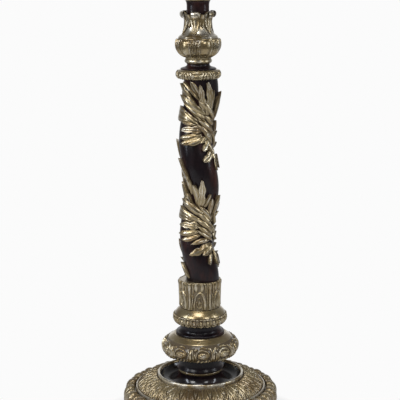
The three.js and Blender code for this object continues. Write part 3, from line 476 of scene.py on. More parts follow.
def knop_carving(across, along):
    """A wide oval of seeds under a hood, and beside it a smooth lobe between a curling
    stem and small arched leaflets."""
    seeds = np.abs(np.cos(math.pi * across / 6.4)
                   * np.cos(math.pi * (along - 20 + across / 6) / 6.0))
    boss = (4.0 + 1.9 * seeds ** 0.6) * np.sqrt(np.clip(
        1 - (across / 16.5) ** 2 - ((along - 20) / 9.5) ** 2, 0, 1))
    leaves = standing(across, along, [
        [(-19.5, 12, 1.8, 4.0), (-19, 22, 2.0, 5.2), (-14, 31, 2.2, 5.6), (-5, 34.5, 2.6, 5.8),
         (5, 33.5, 2.4, 5.4), (13, 29, 2.0, 5.0), (17.6, 21, 1.7, 4.0)],
        [(-8, 41, 2.0, 3.6), (0, 42.5, 3.0, 4.4), (9, 40, 2.2, 4.0)],
        [(15, 39.5, 1.7, 4.4), (20.6, 37, 2.0, 6.2), (24.4, 30, 2.2, 6.9), (24.6, 22, 2.0, 6.6),
         (22.6, 14, 1.9, 6.0), (22.8, 5, 2.2, 5.4)],
        [(30.5, 33, 3.6, 4.2), (30.2, 24, 5.0, 5.4), (29.2, 14, 5.2, 5.6), (28.6, 6, 3.8, 4.6)],
        [(35.6, 4, 1.8, 4.6), (36.4, 14, 1.8, 5.8), (35.8, 27, 1.9, 6.2), (33.4, 37, 1.7, 5.0)]])
    leaflets = standing(np.where(across > 0, across - KNOP_CELL, across), along, [
        [(-28.8, 4, 1.8, 4.6), (-28.0, 14, 1.8, 5.8), (-28.6, 27, 1.9, 6.2),
         (-31.0, 37, 1.7, 5.0)],
        [(-25.6, 6, 1.5, 3.6), (-25.4, 18, 1.6, 4.8), (-23.4, 25.5, 1.9, 5.8),
         (-21.6, 17, 1.5, 4.6), (-21.8, 7, 1.4, 3.4)],
        [(-26.4, 40, 1.6, 3.4), (-23.0, 34.5, 1.9, 4.8), (-17.6, 38, 1.7, 4.0)]])
    tips = standing(across, along, [
        [(-17.5, 2, 2.0, 3.8), (-12.5, 6.5, 2.4, 4.4)],
        [(-6.5, 1.6, 2.0, 3.8), (-1, 5.4, 2.6, 4.6)],
        [(5, 1.6, 2.0, 3.8), (10.5, 6, 2.4, 4.4)],
        [(15.5, 2, 1.8, 3.6), (18.6, 7, 1.8, 3.8)]])
    return np.maximum.reduce([boss, leaves, leaflets, tips])


knop_band = eased([
    (88.5, 216.8), (92.5, 221), (95.2, 227), (96.4, 234), (96, 241), (93, 248), (87.6, 254.6),
    (83.8, 259.4)], 1.1)
knop_outline = [
    (LOWER_BORE, 215.0), (57, 215.0), (86, 215.0), (87.6, 215.2), *knop_band,
    *eased([*corners((83, 260.6)), (78, 264.2), (73, 267.6), *corners((70, 269.4)),
            (68.8, 270.9), *corners((66, 271.0), (58, 270.4)), (LOWER_BORE, 270.3)], 2.5),
    (LOWER_BORE, 215.0)]
knop = turned('carved_knop', knop_outline, KNOP_REPEATS * 84)
carve(knop, knop_band, KNOP_REPEATS, knop_carving, radius=102.5, depth=7.0, phase=4.5,
      worn=0.9)
finished(knop, gilt, 'knop')

# ---- Upper scotia ------------------------------------------
# The ebonised waist above the knop, turned with a flat disc at its foot.

upper_waist = turned('upper_waist', eased(bored(LOWER_BORE, 270.6, 300.7, [
    *corners((63.5, 271.0)), (63.9, 273), (63.9, 275.2), *corners((62.6, 277), (58.5, 277.6)),
    (54.5, 281), (52.8, 286), (52.5, 292), (53.4, 297.5),
    *corners((55.2, 300.7))]), 1.8), steps=128)
finished(upper_waist, ebonised, 'upper_scotia')

# ---- Cup ring ----------------------------------------------
# A gilt ring under the leaf cup: a smooth sloping band above, small eggs and darts
# carved below.

RING_EGGS = 24


def egg_and_dart(across, along):
    """A seeded egg in a round frame, and darts between two frames."""
    side = np.abs(across)
    egg = 4.2 * np.sqrt(np.clip(1 - (across / 4.6) ** 2 - ((along - 13) / 6.6) ** 2, 0, 1))
    egg *= 0.75 + 0.25 * np.abs(np.cos(math.pi * (along - 13 - across) / 5.5))
    frames = standing(side, along, [
        [(6.6, 23.5, 1.3, 3.4), (6.8, 12, 1.3, 3.4), (4.2, 4.4, 1.4, 3.2), (0, 2.2, 1.5, 3.2)],
        [(9.35, 24, 1.5, 4.0), (9.35, 15, 1.6, 3.4), (9.35, 9, 1.2, 2.6)],
        [(9.35, 4, 1.8, 3.2), (9.35, 2, 1.6, 2.8)],
        [(3.0, 23.0, 1.5, 3.8), (0, 24.6, 1.6, 3.6)]])
    return np.maximum(egg, frames)


ring_band = eased([
    (61.0, 302.4), (65.0, 306), (67.6, 311), (68.4, 317), (67.6, 322), (66.2, 326)], 0.9)
ring_outline = [
    (LOWER_BORE, 301.0), (45, 301.0), (58, 301.0), (60.2, 301.4), *ring_band,
    *eased([*corners((66.6, 326.8)), (65.2, 330), (62, 334.4), (58, 338.6), (54.5, 341.8),
            *corners((53.2, 342.6), (52.6, 343.2)), (LOWER_BORE, 343.2)], 2.0),
    (LOWER_BORE, 301.0)]
ring = turned('egg_and_dart_ring', ring_outline, RING_EGGS * 34)
carve(ring, ring_band, RING_EGGS, egg_and_dart, radius=71.5, depth=4.8, phase=2, worn=0.9)
finished(ring, gilt, 'cup_ring')

# ---- Leaf cup ----------------------------------------------
# A short drum carved in low relief with water leaves and pointed arches. The leaves'
# tips stand free as a ragged lip round the foot of the shaft.


CUP_REPEATS = 6
HALF_CUP_CELL = 27.75


def cup_carving(across, along):
    """A round-headed arch over a trefoil, two buds above it under the lip, a stout
    stem between the arches and scrolled stalks beside it."""
    arch = standing(across, along, [
        [(-14, 2, 1.8, 3.6), (-13.5, 22, 1.9, 4.2), (-10, 38, 2.1, 4.8), (-2.5, 47.5, 2.5, 5.2),
         (5, 45.5, 3.2, 5.2), (10.8, 35, 4.2, 5.2), (14.0, 20, 4.4, 5.0), (13.6, 2, 4.4, 4.6)],
        [(-3, 15, 2.3, 3.4), (-1.5, 25, 2.7, 4.4), (-2, 34, 1.5, 3.2)],
        [(-8.2, 22, 1.6, 3.2), (-6.4, 11, 2.1, 3.8), (-1, 6, 2.3, 3.8), (3.2, 10, 2.0, 3.0)],
        [(2.6, 20, 2.0, 3.4), (5, 9, 1.9, 3.4), (7.6, 2, 1.7, 3.2)],
        [(-9.0, 54, 3.2, 3.8), (-10.0, 62, 5.6, 5.2), (-9.5, 72, 3.8, 4.6)],
        [(5.0, 53, 3.2, 3.6), (6.4, 62, 5.4, 5.2), (5.4, 72, 3.8, 4.4)],
        [(16.2, 48, 1.8, 3.4), (15.6, 63, 2.6, 4.4), (13.5, 73, 2.2, 3.8)],
        [(-22.2, 2, 2.3, 3.4), (-21.4, 14, 1.9, 4.0), (-19.4, 26, 1.9, 4.4), (-19.2, 35, 1.7, 3.8),
         (-21.4, 41, 1.5, 3.2)],
        [(-17.6, 6, 1.4, 2.8), (-17.2, 16, 1.6, 3.2)],
        [(-18.2, 46, 1.8, 3.6), (-17.4, 58, 2.2, 4.2), (-18.6, 72, 2.4, 3.8)],
        [(20.8, 2, 1.5, 2.8), (20.4, 40, 1.5, 3.4), (20.8, 58, 1.8, 3.6), (20.4, 72, 2.2, 3.6)]])
    stem = standing(HALF_CUP_CELL - np.abs(across), along, [
        [(0, 2, 6.0, 4.6), (0, 12, 4.0, 4.8), (0, 56, 4.0, 5.0), (0, 66, 5.4, 5.2),
         (0, 74, 3.2, 4.2)]])
    return np.maximum(arch, stem)


cup_band = eased([
    (51.2, 345), (50.4, 352), (50.3, 365), (50.8, 380), (51.0, 392), (51.6, 404),
    (52.6, 412), (52.4, 418)], 1.0)
cup_outline = [
    (LOWER_BORE, 343.5), (30, 343.5), (49.5, 343.5), (50.6, 343.6), *cup_band,
    (51.8, 418.6), (51.7, 417.5), (LOWER_BORE, 417.5), (LOWER_BORE, 343.5)]
cup = turned('carved_cup', cup_outline, CUP_REPEATS * 110)
carve(cup, cup_band, CUP_REPEATS, cup_carving, radius=53, depth=5.2, dark=0.75, worn=0.5)
finished(cup, gilt, 'leaf_cup')

# ---- Twisted shaft -----------------------------------------
# The ebonised column: a round section whose centre turns about the stand's axis as
# it rises, worked from one baulk and polished black over red-brown.

SHAFT_FOOT = 417.8
SHAFT_RISE = 529.956
SHAFT_RINGS = 150
SHAFT_RADIUS = 43
SWING = 8
PITCH = 252
GROOVE_AT_FOOT = 0.726


def groove(height):
    """The way the groove faces at a height, as an angle from the front."""
    return (GROOVE_AT_FOOT - (height - SHAFT_FOOT) / PITCH) * 2 * math.pi


def centre(height):
    """The centre of the shaft's round section, which keeps away from the groove."""
    facing = groove(height)
    return np.array([-SWING * math.sin(facing), SWING * math.cos(facing), height])


def drawn_up(sides, radius, path, heights):
    """A round section drawn up through the places that path gives at the heights."""
    bpy.ops.object.select_all(action='DESELECT')
    bpy.ops.mesh.primitive_circle_add(
        vertices=sides, radius=radius * MM, fill_type='NGON', enter_editmode=True)
    bpy.ops.transform.translate(value=tuple(path(heights[0]) * MM))
    for here, after in zip(heights, heights[1:]):
        bpy.ops.mesh.extrude_region_move(
            TRANSFORM_OT_translate={'value': tuple((path(after) - path(here)) * MM)})
    bpy.ops.mesh.select_all(action='SELECT')
    bpy.ops.mesh.normals_make_consistent(inside=False)
    bpy.ops.object.mode_set(mode='OBJECT')
    return bpy.context.object


shaft = drawn_up(96, SHAFT_RADIUS, centre, np.linspace(
    SHAFT_FOOT, SHAFT_FOOT + SHAFT_RISE, SHAFT_RINGS + 1))
shaft.name = 'solomonic_shaft'
bpy.ops.object.shade_smooth_by_angle(angle=math.radians(50))
finished(shaft, ebonised, 'twist_shaft')

# ---- Garland -----------------------------------------------
# Sprays of long acanthus leaves on a vine that lies in the groove. They are carved
# in limewood, glued and pinned to the shaft, and gilt like the rest.


def on_shaft(turn, height, lift):
    """A place on the shaft: a turn in degrees about the twist's own centre, a height
    above the floor, and a lift off the surface."""
    facing = groove(height)
    turn = np.radians(turn)
    return np.stack([
        -SWING * np.sin(facing) + (SHAFT_RADIUS + lift) * np.sin(turn),
        SWING * np.cos(facing) - (SHAFT_RADIUS + lift) * np.cos(turn), height], axis=-1)


SKIRT_WIDTH = 0.80
FILLET = 0.8


def leaf(place, shape, relief, ridges=2, crown=1.0, along=26, across=16, smooth_from=None):
    """One carved leaf. place gives a point for a distance across (as a share of the
    half width), a share of the length, and a lift. shape is how wide it is on its way.
    The grid's outer row is a skirt, sunk into the wood under the leaf."""
    bpy.ops.object.select_all(action='DESELECT')
    bpy.ops.mesh.primitive_grid_add(x_subdivisions=across + 2, y_subdivisions=along + 2, size=2)
    made = bpy.context.object
    grid = points_of(made)
    side = grid[:, 0] * (across + 2) / across
    way = (grid[:, 1] * (along + 2) / along + 1) / 2
    skirt = (np.abs(side) > 1.001) | (way < -0.001) | (way > 1.001)
    side = np.clip(side, -1, 1)
    way = np.clip(way, 0, 1)
    if ridges == 1:
        ridge = (1 - np.abs(side)) ** FILLET
    else:
        ridge = np.abs(np.sin(math.pi * ridges * (side + 1) / 2)) ** FILLET
    # The leaf is full in its middle and runs out at its base and its tip.
    swell = np.sqrt(np.clip(np.sin(math.pi * np.clip(way * 0.94 + 0.05, 0, 1)), 0, 1))
    tip = np.zeros(len(way))
    if smooth_from is not None:
        tip = np.clip((way - smooth_from) / 0.06, 0, 1)
    ridge = ridge * (1 - tip) + tip
    lift = (relief * ridge + crown * np.sqrt(np.clip(1 - 0.96 * side ** 2, 0, 1))) * swell
    spots = place(side * np.interp(way, *shape), way, lift)
    sunk = place(side * SKIRT_WIDTH * np.interp(way * 0.96, *shape),
                 np.clip(way, 0.03, 0.95), None)
    spots[skirt] = sunk[skirt]
    made.data.vertices.foreach_set('co', (spots * MM).ravel())
    # Painted shade: the skirt under the leaf's edges, the grooves between its ridges and its thin
    # ends are marked dark.
    cut = np.where(skirt, 1.0, np.clip(0.72 - 1.4 * ridge * np.maximum(swell, tip), 0, 0.7))
    rub = np.clip((ridge - 0.70) / 0.3, 0, 1) * np.clip(way * 1.6, 0.25, 1)
    # Where the tip rolls over, it is marked fully rubbed: bare silver that is wear and also a
    # painted highlight on the roll.
    mark(made, cut, np.maximum(0.9 * np.where(skirt, 0.0, rub), tip))
    made.data.update()
    return made


# Outlines of leaves: shares of the length, and how wide the leaf is there.
LANCE = ((0, 0.1, 0.3, 0.52, 0.72, 0.86, 0.95, 1),
         (0.36, 0.6, 0.9, 1.0, 0.84, 0.54, 0.24, 0.03))
BROAD = ((0, 0.1, 0.3, 0.55, 0.72, 0.84, 0.93, 1),
         (0.30, 0.5, 0.84, 1.0, 0.98, 0.76, 0.42, 0.05))
FLAP = ((0, 0.2, 0.45, 0.7, 0.86, 0.95, 1), (0.34, 0.52, 0.72, 0.92, 1.0, 0.94, 0.66))
OAK = ((0, 0.12, 0.30, 0.42, 0.52, 0.64, 0.74, 0.84, 0.93, 1),
       (0.30, 0.55, 1.0, 0.94, 0.62, 0.86, 0.80, 0.48, 0.40, 0.04))
# The outline and the height of the ridges for leaves narrower than each width.
OUTLINES = ((13.5, LANCE, 2.2), (17.5, BROAD, 2.0), (23.5, OAK, 1.6), (99, FLAP, 0.8))


def shaft_leaf(base, tip, width, lift=5.0, curl=3.0, bow=0.0, **looks):
    """A leaf laid on the shaft from its base to its tip, each (turn, height)."""
    to_mm = math.radians(SHAFT_RADIUS + lift)
    start = np.array([base[0] * to_mm, base[1]])
    end = np.array([tip[0] * to_mm, tip[1]])
    line = end - start
    length = float(np.linalg.norm(line))
    square = np.array([line[1], -line[0]]) / length

    def place(side, way, rise):
        middle = start + np.outer(way, line) + np.outer(np.sin(math.pi * way) * bow, square)
        slope = line + np.outer(math.pi * np.cos(math.pi * way) * bow, square)
        slope /= np.linalg.norm(slope, axis=1)[:, None]
        spot = middle + (side * width / 2)[:, None] * np.stack([slope[:, 1], -slope[:, 0]], axis=1)
        if rise is None:
            height = np.full(len(way), -1.5)
        else:
            height = lift * np.clip(0.35 + way * 2.5, 0, 1) + curl * way ** 3 + rise
        return on_shaft(spot[:, 0] / to_mm, spot[:, 1], height)

    outline, relief = next(kind[1:] for kind in OUTLINES if width < kind[0])
    return leaf(place, outline, relief, **looks)


def vine(low, high, drift, radius):
    """A strand of the vine, drawn up along the groove and partly sunk in it."""
    def path(height):
        return on_shaft(math.degrees(groove(height)) + drift, height, radius * 0.4)

    rings = math.ceil((high - low) / 4)
    strand = drawn_up(16, radius, path, np.linspace(low, high, rings + 1))
    count = len(strand.data.vertices)
    mark(strand, np.full(count, 0.25), np.zeros(count))
    return strand


def joined(name, parts):
    """Makes one piece of several carved parts."""
    bpy.ops.object.select_all(action='DESELECT')
    for part in parts:
        part.select_set(True)
    bpy.context.view_layer.objects.active = parts[0]
    bpy.ops.object.join()
    piece = bpy.context.object
    piece.name = name
    bpy.ops.object.transform_apply(location=True, rotation=True, scale=True)
    bpy.ops.object.shade_smooth_by_angle(angle=math.radians(48))
    return piece


# Each leaf: base turn and height, tip turn and height, width, lift, curl, bow, ridges.
UPPER_SPRAY = [
    (-30, 893, -88, 936, 21, 6, 5, 2, 1), (-4, 900, -34, 944, 17, 3, 1, 0, 2),
    (-2, 892, -58, 942, 7, 9, 2, 1, 1), (-14, 884, -44, 908, 8, 9, 2, 0, 1),
    (14, 866, -3, 937, 20, 7, 4, -3, 3), (26, 850, 20, 944, 22, 8, 4, 2, 3),
    (30, 862, 38, 922, 8, 6, 3, 2, 1), (50, 834, 60, 906, 17, 6, 5, 4, 1),
    (58, 842, 78, 916, 10, 3, 5, 2, 1), (24, 856, -80, 907, 17, 8, 4, 2, 1),
    (30, 846, -56, 889, 10, 8, 3, -2, 1), (8, 832, -46, 866, 6, 11, 2, -1, 1),
    (56, 846, -8, 895, 12, 8, 2, 2, 1), (50, 846, 12, 890, 11, 11, 2, 0, 1),
    (60, 828, 18, 856, 13, 7, 2, 0, 1), (64, 812, 0, 846, 13, 7, 3, 0, 1),
    (62, 794, -2, 836, 12, 7, 3, 0, 1), (62, 784, 18, 822, 11, 6, 2, 0, 1),
    (76, 806, 60, 842, 9, 7, 4, 2, 1), (82, 790, 70, 824, 9, 4, 3, 2, 1),
    (4, 834, -96, 862, 38, 5, 4, 3, 3), (0, 834, -58, 843, 10, 8, 2, -2, 1),
    (20, 818, -48, 820, 23, 7, 4, 2, 3),
    (18, 808, -51, 799, 14, 6, 4, 0, 1), (20, 804, -47, 785, 15, 6, 4, -2, 1),
    (28, 802, -22, 785, 14, 7, 5, -2, 1), (36, 804, 14, 788, 11, 5, 4, -2, 1),
    (46, 798, 20, 768, 21, 6, 5, -3, 1), (44, 788, 52, 758, 8, 9, 4, 2, 1),
    (60, 770, 16, 741, 22, 6, 5, -4, 2), (62, 776, 58, 744, 14, 7, 4, 3, 1),
    (86, 756, 70, 712, 15, 2, 3, 3, 1)]
LOWER_SPRAY = [
    (-36, 652, -64, 724, 18, 5, 3, 2, 1), (-56, 690, -76, 745, 15, 4, 4, 0, 1),
    (-46, 640, -70, 684, 11, 9, 3, 1, 1), (-50, 632, -88, 672, 16, 5, 4, 1, 1),
    (-20, 612, -50, 656, 10, 7, 2, 0, 1), (-3, 608, 2, 694, 23, 8, 4, 0, 3),
    (-6, 614, -27, 680, 17, 6, 5, 2, 1), (6, 612, 26, 654, 13, 6, 4, 1, 1),
    (34, 586, 32, 642, 16, 6, 4, -1, 1), (44, 582, 62, 648, 17, 6, 4, 2, 1),
    (50, 578, 74, 602, 10, 4, 5, 0, 1), (16, 592, -70, 638, 17, 8, 3, 2, 1),
    (29, 576, -74, 618, 12, 8, 3, -2, 1), (22, 592, -38, 634, 7, 11, 2, 2, 1),
    (44, 580, -4, 622, 13, 10, 2, 2, 1), (48, 570, -6, 606, 12, 10, 2, 0, 1),
    (54, 556, -8, 590, 12, 9, 2, 0, 1), (60, 548, 10, 584, 11, 7, 2, 0, 1),
    (70, 566, 44, 600, 10, 8, 4, 0, 1), (-2, 580, -88, 600, 30, 4, 4, 3, 3),
    (60, 538, -2, 572, 11, 7, 3, 0, 1), (60, 528, 0, 560, 10, 8, 2, 0, 1),
    (12, 568, -58, 571, 23, 7, 4, 2, 3), (12, 556, -60, 548, 15, 6, 4, 0, 1),
    (16, 548, -48, 533, 14, 5, 4, -2, 1), (46, 532, -16, 524, 13, 8, 5, 4, 1),
    (50, 522, -24, 496, 22, 6, 5, 0, 1), (50, 518, 14, 496, 20, 6, 5, -2, 1),
    (58, 520, 36, 506, 14, 6, 4, 0, 1), (70, 546, 88, 526, 14, 3, 6, 0, 1),
    (62, 508, 66, 462, 15, 6, 4, 1, 1), (50, 502, 30, 468, 12, 5, 4, 0, 1)]
GARLAND_FOOT = 426
GARLAND_SPLIT = 665
GARLAND_HEAD = 942


def spray(leaves):
    """The leaves of a spray, and the same leaves half a twist further down and behind."""
    made = []
    for behind, drop in ((0, 0), (180, PITCH / 2)):
        for base, low, tip, high, width, lift, curl, bow, ridges in leaves:
            if min(low, high) - drop >= GARLAND_FOOT:
                made.append(shaft_leaf((base + behind, low - drop), (tip + behind, high - drop),
                                       width, lift, curl, bow, ridges=ridges))
    return made


def strands(low, high):
    """The vine's two strands, side by side."""
    return [vine(low, high, -5, 5), vine(low, high, 6, 4.5)]


low_garland = joined('garland_of_leaves_low', [
    *spray(LOWER_SPRAY), shaft_leaf((-50, 428), (-80, 469), 13),
    *strands(GARLAND_FOOT, GARLAND_SPLIT - 1)])
finished(low_garland, gilt, 'garland_lower')
high_garland = joined('garland_of_leaves_high', [
    *spray(UPPER_SPRAY), *strands(GARLAND_SPLIT + 1, GARLAND_HEAD)])
finished(high_garland, gilt, 'garland_upper')

# ---- Collar and its scotia ---------------------------------
# A gilt torus at the head of the shaft, carved with beads and fanned leaves under a
# plain band, and the ebonised hollow above it.


UPPER_BORE = 11.3
COLLAR_REPEATS = 6


def collar_carving(across, along):
    """Two beads on a plain band, and on each side of them a fan of slanted lobes."""
    side = np.abs(across)
    fans = standing(side, along, [
        [(12 + shift, 2, 2.4, 2.8), (13.5 + shift, 11, 3.4, 4.4), (18 + shift, 20, 2.2, 3.0)]
        for shift in (0, 7.4, 14.8)])
    beads = 4.4 * np.sqrt(np.clip(1 - ((side - 9.0) / 4.2) ** 2 - ((along - 12) / 4.4) ** 2, 0, 1))
    band = standing(side, along, [
        [(0, 12, 3.0, 3.0), (3.4, 12, 2.4, 2.4)], [(0, 4, 3.4, 2.6), (9, 4, 3.0, 2.4)],
        [(0, 20, 3.0, 2.8), (10, 20, 2.6, 2.4)]])
    return np.maximum.reduce([fans, beads, band])


collar_band = eased([
    (47.5, 948.3), (51, 951), (53.6, 955.5), (54.2, 960), (53.2, 964.5), (50.5, 968)], 0.9)
collar_outline = [
    (UPPER_BORE, 948.06), (46, 948.06), *collar_band,
    *eased([*corners((50.8, 968.6)), (49, 970.3), *corners((46.2, 971)),
            (UPPER_BORE, 971.05)], 1.2), (UPPER_BORE, 948.06)]
collar = turned('fanned_collar', collar_outline, COLLAR_REPEATS * 120)
carve(collar, collar_band, COLLAR_REPEATS, collar_carving, radius=56, depth=4.0, phase=-4,
      dark=0.7, worn=0.3)
finished(collar, gilt, 'collar_ring')
hollow = turned('collar_hollow', eased(bored(UPPER_BORE, 971.36, 984.7, [
    *corners((45.5, 971.36)), (45.5, 973), (42.5, 974.6), (36, 976.4), (31, 979),
    (29.2, 981.8), *corners((29, 984.7))]), 1.2), steps=128)
finished(hollow, ebonised, 'collar_scotia')

# ---- Vase --------------------------------------------------
# The vase over the collar: a plain ring, a bulb carved with broad fluted panels and
# thin darts, and a smooth neck wrapped in six leaves that roll over at the top.

plain('vase_foot_ring', 'vase_ring', bored(UPPER_BORE, 985.0, 998.4, [
    *corners((29, 985.0)), (32, 986.5), (34.6, 989.4), (35.3, 992.4), (34.5, 995.4),
    (33, 997.4), *corners((32.6, 998.3))]), steps=128, crest=(33.6, 35))
VASE_REPEATS = 6
VASE_STEP = 360 / VASE_REPEATS
LEAF_TURN = -10.5
HALF_BULB_CELL = 30.4


def bulb_carving(across, along):
    """A hollowed panel in a round-headed frame, and three thin darts between two."""
    side = np.abs(across)
    panel = standing(side, along, [
        [(15.6, 2, 1.6, 2.0), (16.8, 16, 2.2, 3.6), (17.4, 40, 2.6, 4.4), (14.5, 54, 2.4, 4.2),
         (6, 60, 2.0, 3.4), (0, 61.5, 2.0, 3.2)]])
    dish = 1.6 * np.clip(1 - (side / 15.5) ** 2, 0, 1) * np.clip(along / 20, 0, 1)
    darts = standing(HALF_BULB_CELL - side, along, [
        [(0, 3, 1.2, 1.8), (0, 44, 1.7, 3.4), (0, 58, 1.4, 2.6)],
        [(4.2, 4, 1.2, 1.8), (4.6, 40, 1.6, 3.4), (5.4, 56, 1.8, 2.8)],
        [(8.6, 4, 1.2, 1.6), (8.8, 36, 1.4, 3.0), (8.4, 50, 1.2, 2.2)]])
    return np.maximum.reduce([panel, dish, darts])


bulb_band = eased([
    (33.2, 1001.5), (36, 1003.5), (40.4, 1006.5), (45.8, 1011.5), (50.4, 1018), (54, 1026),
    (55, 1034), (54.2, 1042), (51, 1048)], 1.2)
bulb_outline = [
    (UPPER_BORE, 998.7), (32.5, 998.7), (33, 999.5), *bulb_band,
    *eased([*corners((51.4, 1048.8)), (51.2, 1050.2), *corners((50.6, 1050.7)),
            (UPPER_BORE, 1050.72)], 3.0), (UPPER_BORE, 998.7)]
bulb = turned('fluted_bulb', bulb_outline, VASE_REPEATS * 120)
carve(bulb, bulb_band, VASE_REPEATS, bulb_carving, radius=58, depth=3.8,
      phase=LEAF_TURN + VASE_STEP / 2, dark=0.8, worn=0.5)
finished(bulb, gilt, 'gadrooned_bulb')

neck = turned('vase_neck', eased(bored(UPPER_BORE, 1051.0, 1096, [
    *corners((50.5, 1051.0)), (50.6, 1052.6), *corners((49, 1053.6)), (49, 1055.0),
    *corners((47.2, 1056.2)), (43.4, 1058.6), (39.2, 1063), (35.8, 1069), (33.2, 1076),
    (31.6, 1084), (30.9, 1092), *corners((30.8, 1095.9))]), 1.5), steps=160)
count = len(neck.data.vertices)
mark(neck, np.zeros(count), np.full(count, 0.9))
# Profiles of the leaves, as shares of the length, radii and heights, and their width.
CROWN = ((0, 0.14, 0.30, 0.46, 0.60, 0.72, 0.82, 0.91, 1),
         (41, 35, 32.6, 31.8, 33.6, 37.8, 42.6, 44.5, 40.5),
         (1060.5, 1072, 1084, 1096, 1107.5, 1116, 1117, 1109, 1101))
CROWN_WIDTH = ((0, 0.14, 0.32, 0.5, 0.64, 0.74, 0.84, 0.94, 1),
               (0.05, 0.4, 0.84, 1.0, 0.84, 0.54, 0.42, 0.38, 0.22))
SPRIG = ((0, 0.3, 0.6, 0.8, 0.92, 1), (33.6, 32, 34.5, 38.5, 41.5, 42),
         (1076, 1090, 1102, 1110, 1112, 1109))


def crown_leaf(turn, profile, half_angle, nub=0.0, **looks):
    """A leaf that climbs the neck on its profile, with a round nub that stands out
    where its tip rolls over."""
    fine = np.linspace(0, 1, 60)
    reach = np.interp(fine, profile[0], profile[1])
    height = np.interp(fine, profile[0], profile[2])
    for _ in range(6):
        reach[1:-1] = (reach[:-2] + reach[1:-1] + reach[2:]) / 3
        height[1:-1] = (height[:-2] + height[1:-1] + height[2:]) / 3
    slope = np.unwrap(np.arctan2(np.gradient(height), np.gradient(reach)))

    def place(side, way, rise):
        lean = np.interp(way, fine, slope)
        bulge = nub * np.sqrt(np.clip(1 - ((way - 0.88) / 0.14) ** 2 - side ** 2, 0, 1))
        lift = -1.0 if rise is None else rise + 1.0 - bulge
        far = np.interp(way, fine, reach) + lift * np.sin(lean)
        up = np.interp(way, fine, height) - lift * np.cos(lean)
        facing = np.radians(turn + side * half_angle)
        return np.stack([far * np.sin(facing), -far * np.cos(facing), up], axis=-1)

    return leaf(place, CROWN_WIDTH, along=40, across=18, **looks)


sprigs = [crown_leaf(LEAF_TURN + VASE_STEP * (number + 0.5), SPRIG, 15, ridges=1, relief=0.8,
                     crown=1.6) for number in range(VASE_REPEATS)]
crowns = [crown_leaf(LEAF_TURN + VASE_STEP * number, CROWN, 29, nub=5.8, ridges=3, relief=1.6,
                     crown=1.4, smooth_from=0.76) for number in range(VASE_REPEATS)]
vase = joined('rolled_leaf_vase', [neck, *sprigs, *crowns])
finished(vase, gilt, 'leafed_vase')

# ---- Upper neck --------------------------------------------
# The plain ebonised neck, turned and threaded on the upper dowel. It rises out of the
# leaves to the top bead.

upper_neck = turned('ebonised_neck', eased(bored(UPPER_BORE, 1096.3, 1142.7, [
    *corners((28.5, 1096.3)), (28.5, 1128), (28.7, 1134), (29.6, 1139.5),
    *corners((31.4, 1142.7))]), 3), steps=128)
finished(upper_neck, ebonised, 'upper_neck')

# ---- Top ---------------------------------------------------
# A gilt bead, an ebonised trumpet that flares out under the platform, and the round
# board with its gilt gadrooned rim. A tenon on the trumpet holds the board.

plain('top_astragal', 'top_bead', bored(UPPER_BORE, 1143.0, 1158.7, [
    *corners((30.5, 1143.0)), (33.6, 1145.2), (35.6, 1149), (36, 1151.5), (35.4, 1155),
    (33.4, 1158), *corners((31.6, 1158.7))]), steps=128, crest=(34, 36))
trumpet = turned('trumpet', eased([
    *corners((ON_AXIS, 1199), (UPPER_BORE, 1199), (UPPER_BORE, 1159.0), (31, 1159.0)),
    (30.4, 1166), (31, 1180), (34, 1196), (42, 1211), (57, 1222), (78, 1228), (98, 1230),
    *corners((103, 1231)), (104, 1233),
    *corners((104, 1239), (30, 1239.0), (30, 1248), (ON_AXIS, 1248))], 3), steps=160)
finished(trumpet, ebonised, 'top_flare')
board = turned('platform', eased([
    *corners((ON_AXIS, 1248.3), (30.3, 1248.3), (30.3, 1239.3), (138, 1239.3), (138, 1260)),
    (137.4, 1261), *corners((136, 1261.3), (ON_AXIS, 1261.3))], 8), steps=160)
finished(board, ebonised, 'top_board')
RIM_GADROONS = 32
RIM_INSIDE = 138.3


def rim_carving(across, along):
    """A gadroon, a hollow beside it and a thin rib between two."""
    return standing(np.abs(across), along, [
        [(0, 1, 4, 3), (0, 10, 6.4, 4.4), (0, 19, 6.6, 3.6)],
        [(14.6, 2, 1.6, 1.6), (14.6, 18, 2.2, 2.6)],
        [(10.2, 3, 2, 1.6), (10.4, 18, 2.2, 3)]])


rim_band = eased([
    (141.5, 1239.6), (145, 1242), (147.4, 1246), (148, 1250.5), (147, 1255),
    (145, 1257.6)], 1.2)
rim_outline = [
    (RIM_INSIDE, 1239.3), (140.8, 1239.3), *rim_band,
    *eased([*corners((145.2, 1258.2)), (143.6, 1259.2), *corners((141, 1259.3)),
            (RIM_INSIDE, 1259.3)], 1.2), (RIM_INSIDE, 1239.3)]
rim = turned('gadrooned_rim', rim_outline, RIM_GADROONS * 24)
carve(rim, rim_band, RIM_GADROONS, rim_carving, radius=152, depth=3.8)
finished(rim, gilt, 'top_rim')

# ---- Dowels ------------------------------------------------
# Plain beech dowels, hidden inside: two long ones that the turned sections are
# threaded on, and one in each foot. They keep their CAD shape.


def beech_finish():
    finish, tree, surface, place, node = shader('beech')
    grain = speckle(node, place, 140, 5, 0.6, (1, 1, 0.05))
    colour = ramp(node, grain, (0.3, (0.36, 0.235, 0.13)), (0.7, (0.52, 0.37, 0.22)))
    tree.links.new(colour, surface.inputs['Base Color'])
    surface.inputs['Roughness'].default_value = 0.7
    fibres = node('Bump', {'Strength': 0.2, 'Distance': 0.0005}, Height=grain)
    tree.links.new(fibres.outputs[0], surface.inputs['Normal'])
    return finish


beech = beech_finish()
for name in ('lower_dowel', 'upper_dowel', 'foot_dowel_1', 'foot_dowel_2', 'foot_dowel_3'):
    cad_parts[name].data.materials.clear()
    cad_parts[name].data.materials.append(beech)

# ---- Camera, lamps and floor -------------------------------
# The photographer's place: a long lens on a tripod, looking a little down. The lamps
# are white boxes and strips, and the floor is paper that runs out into white.

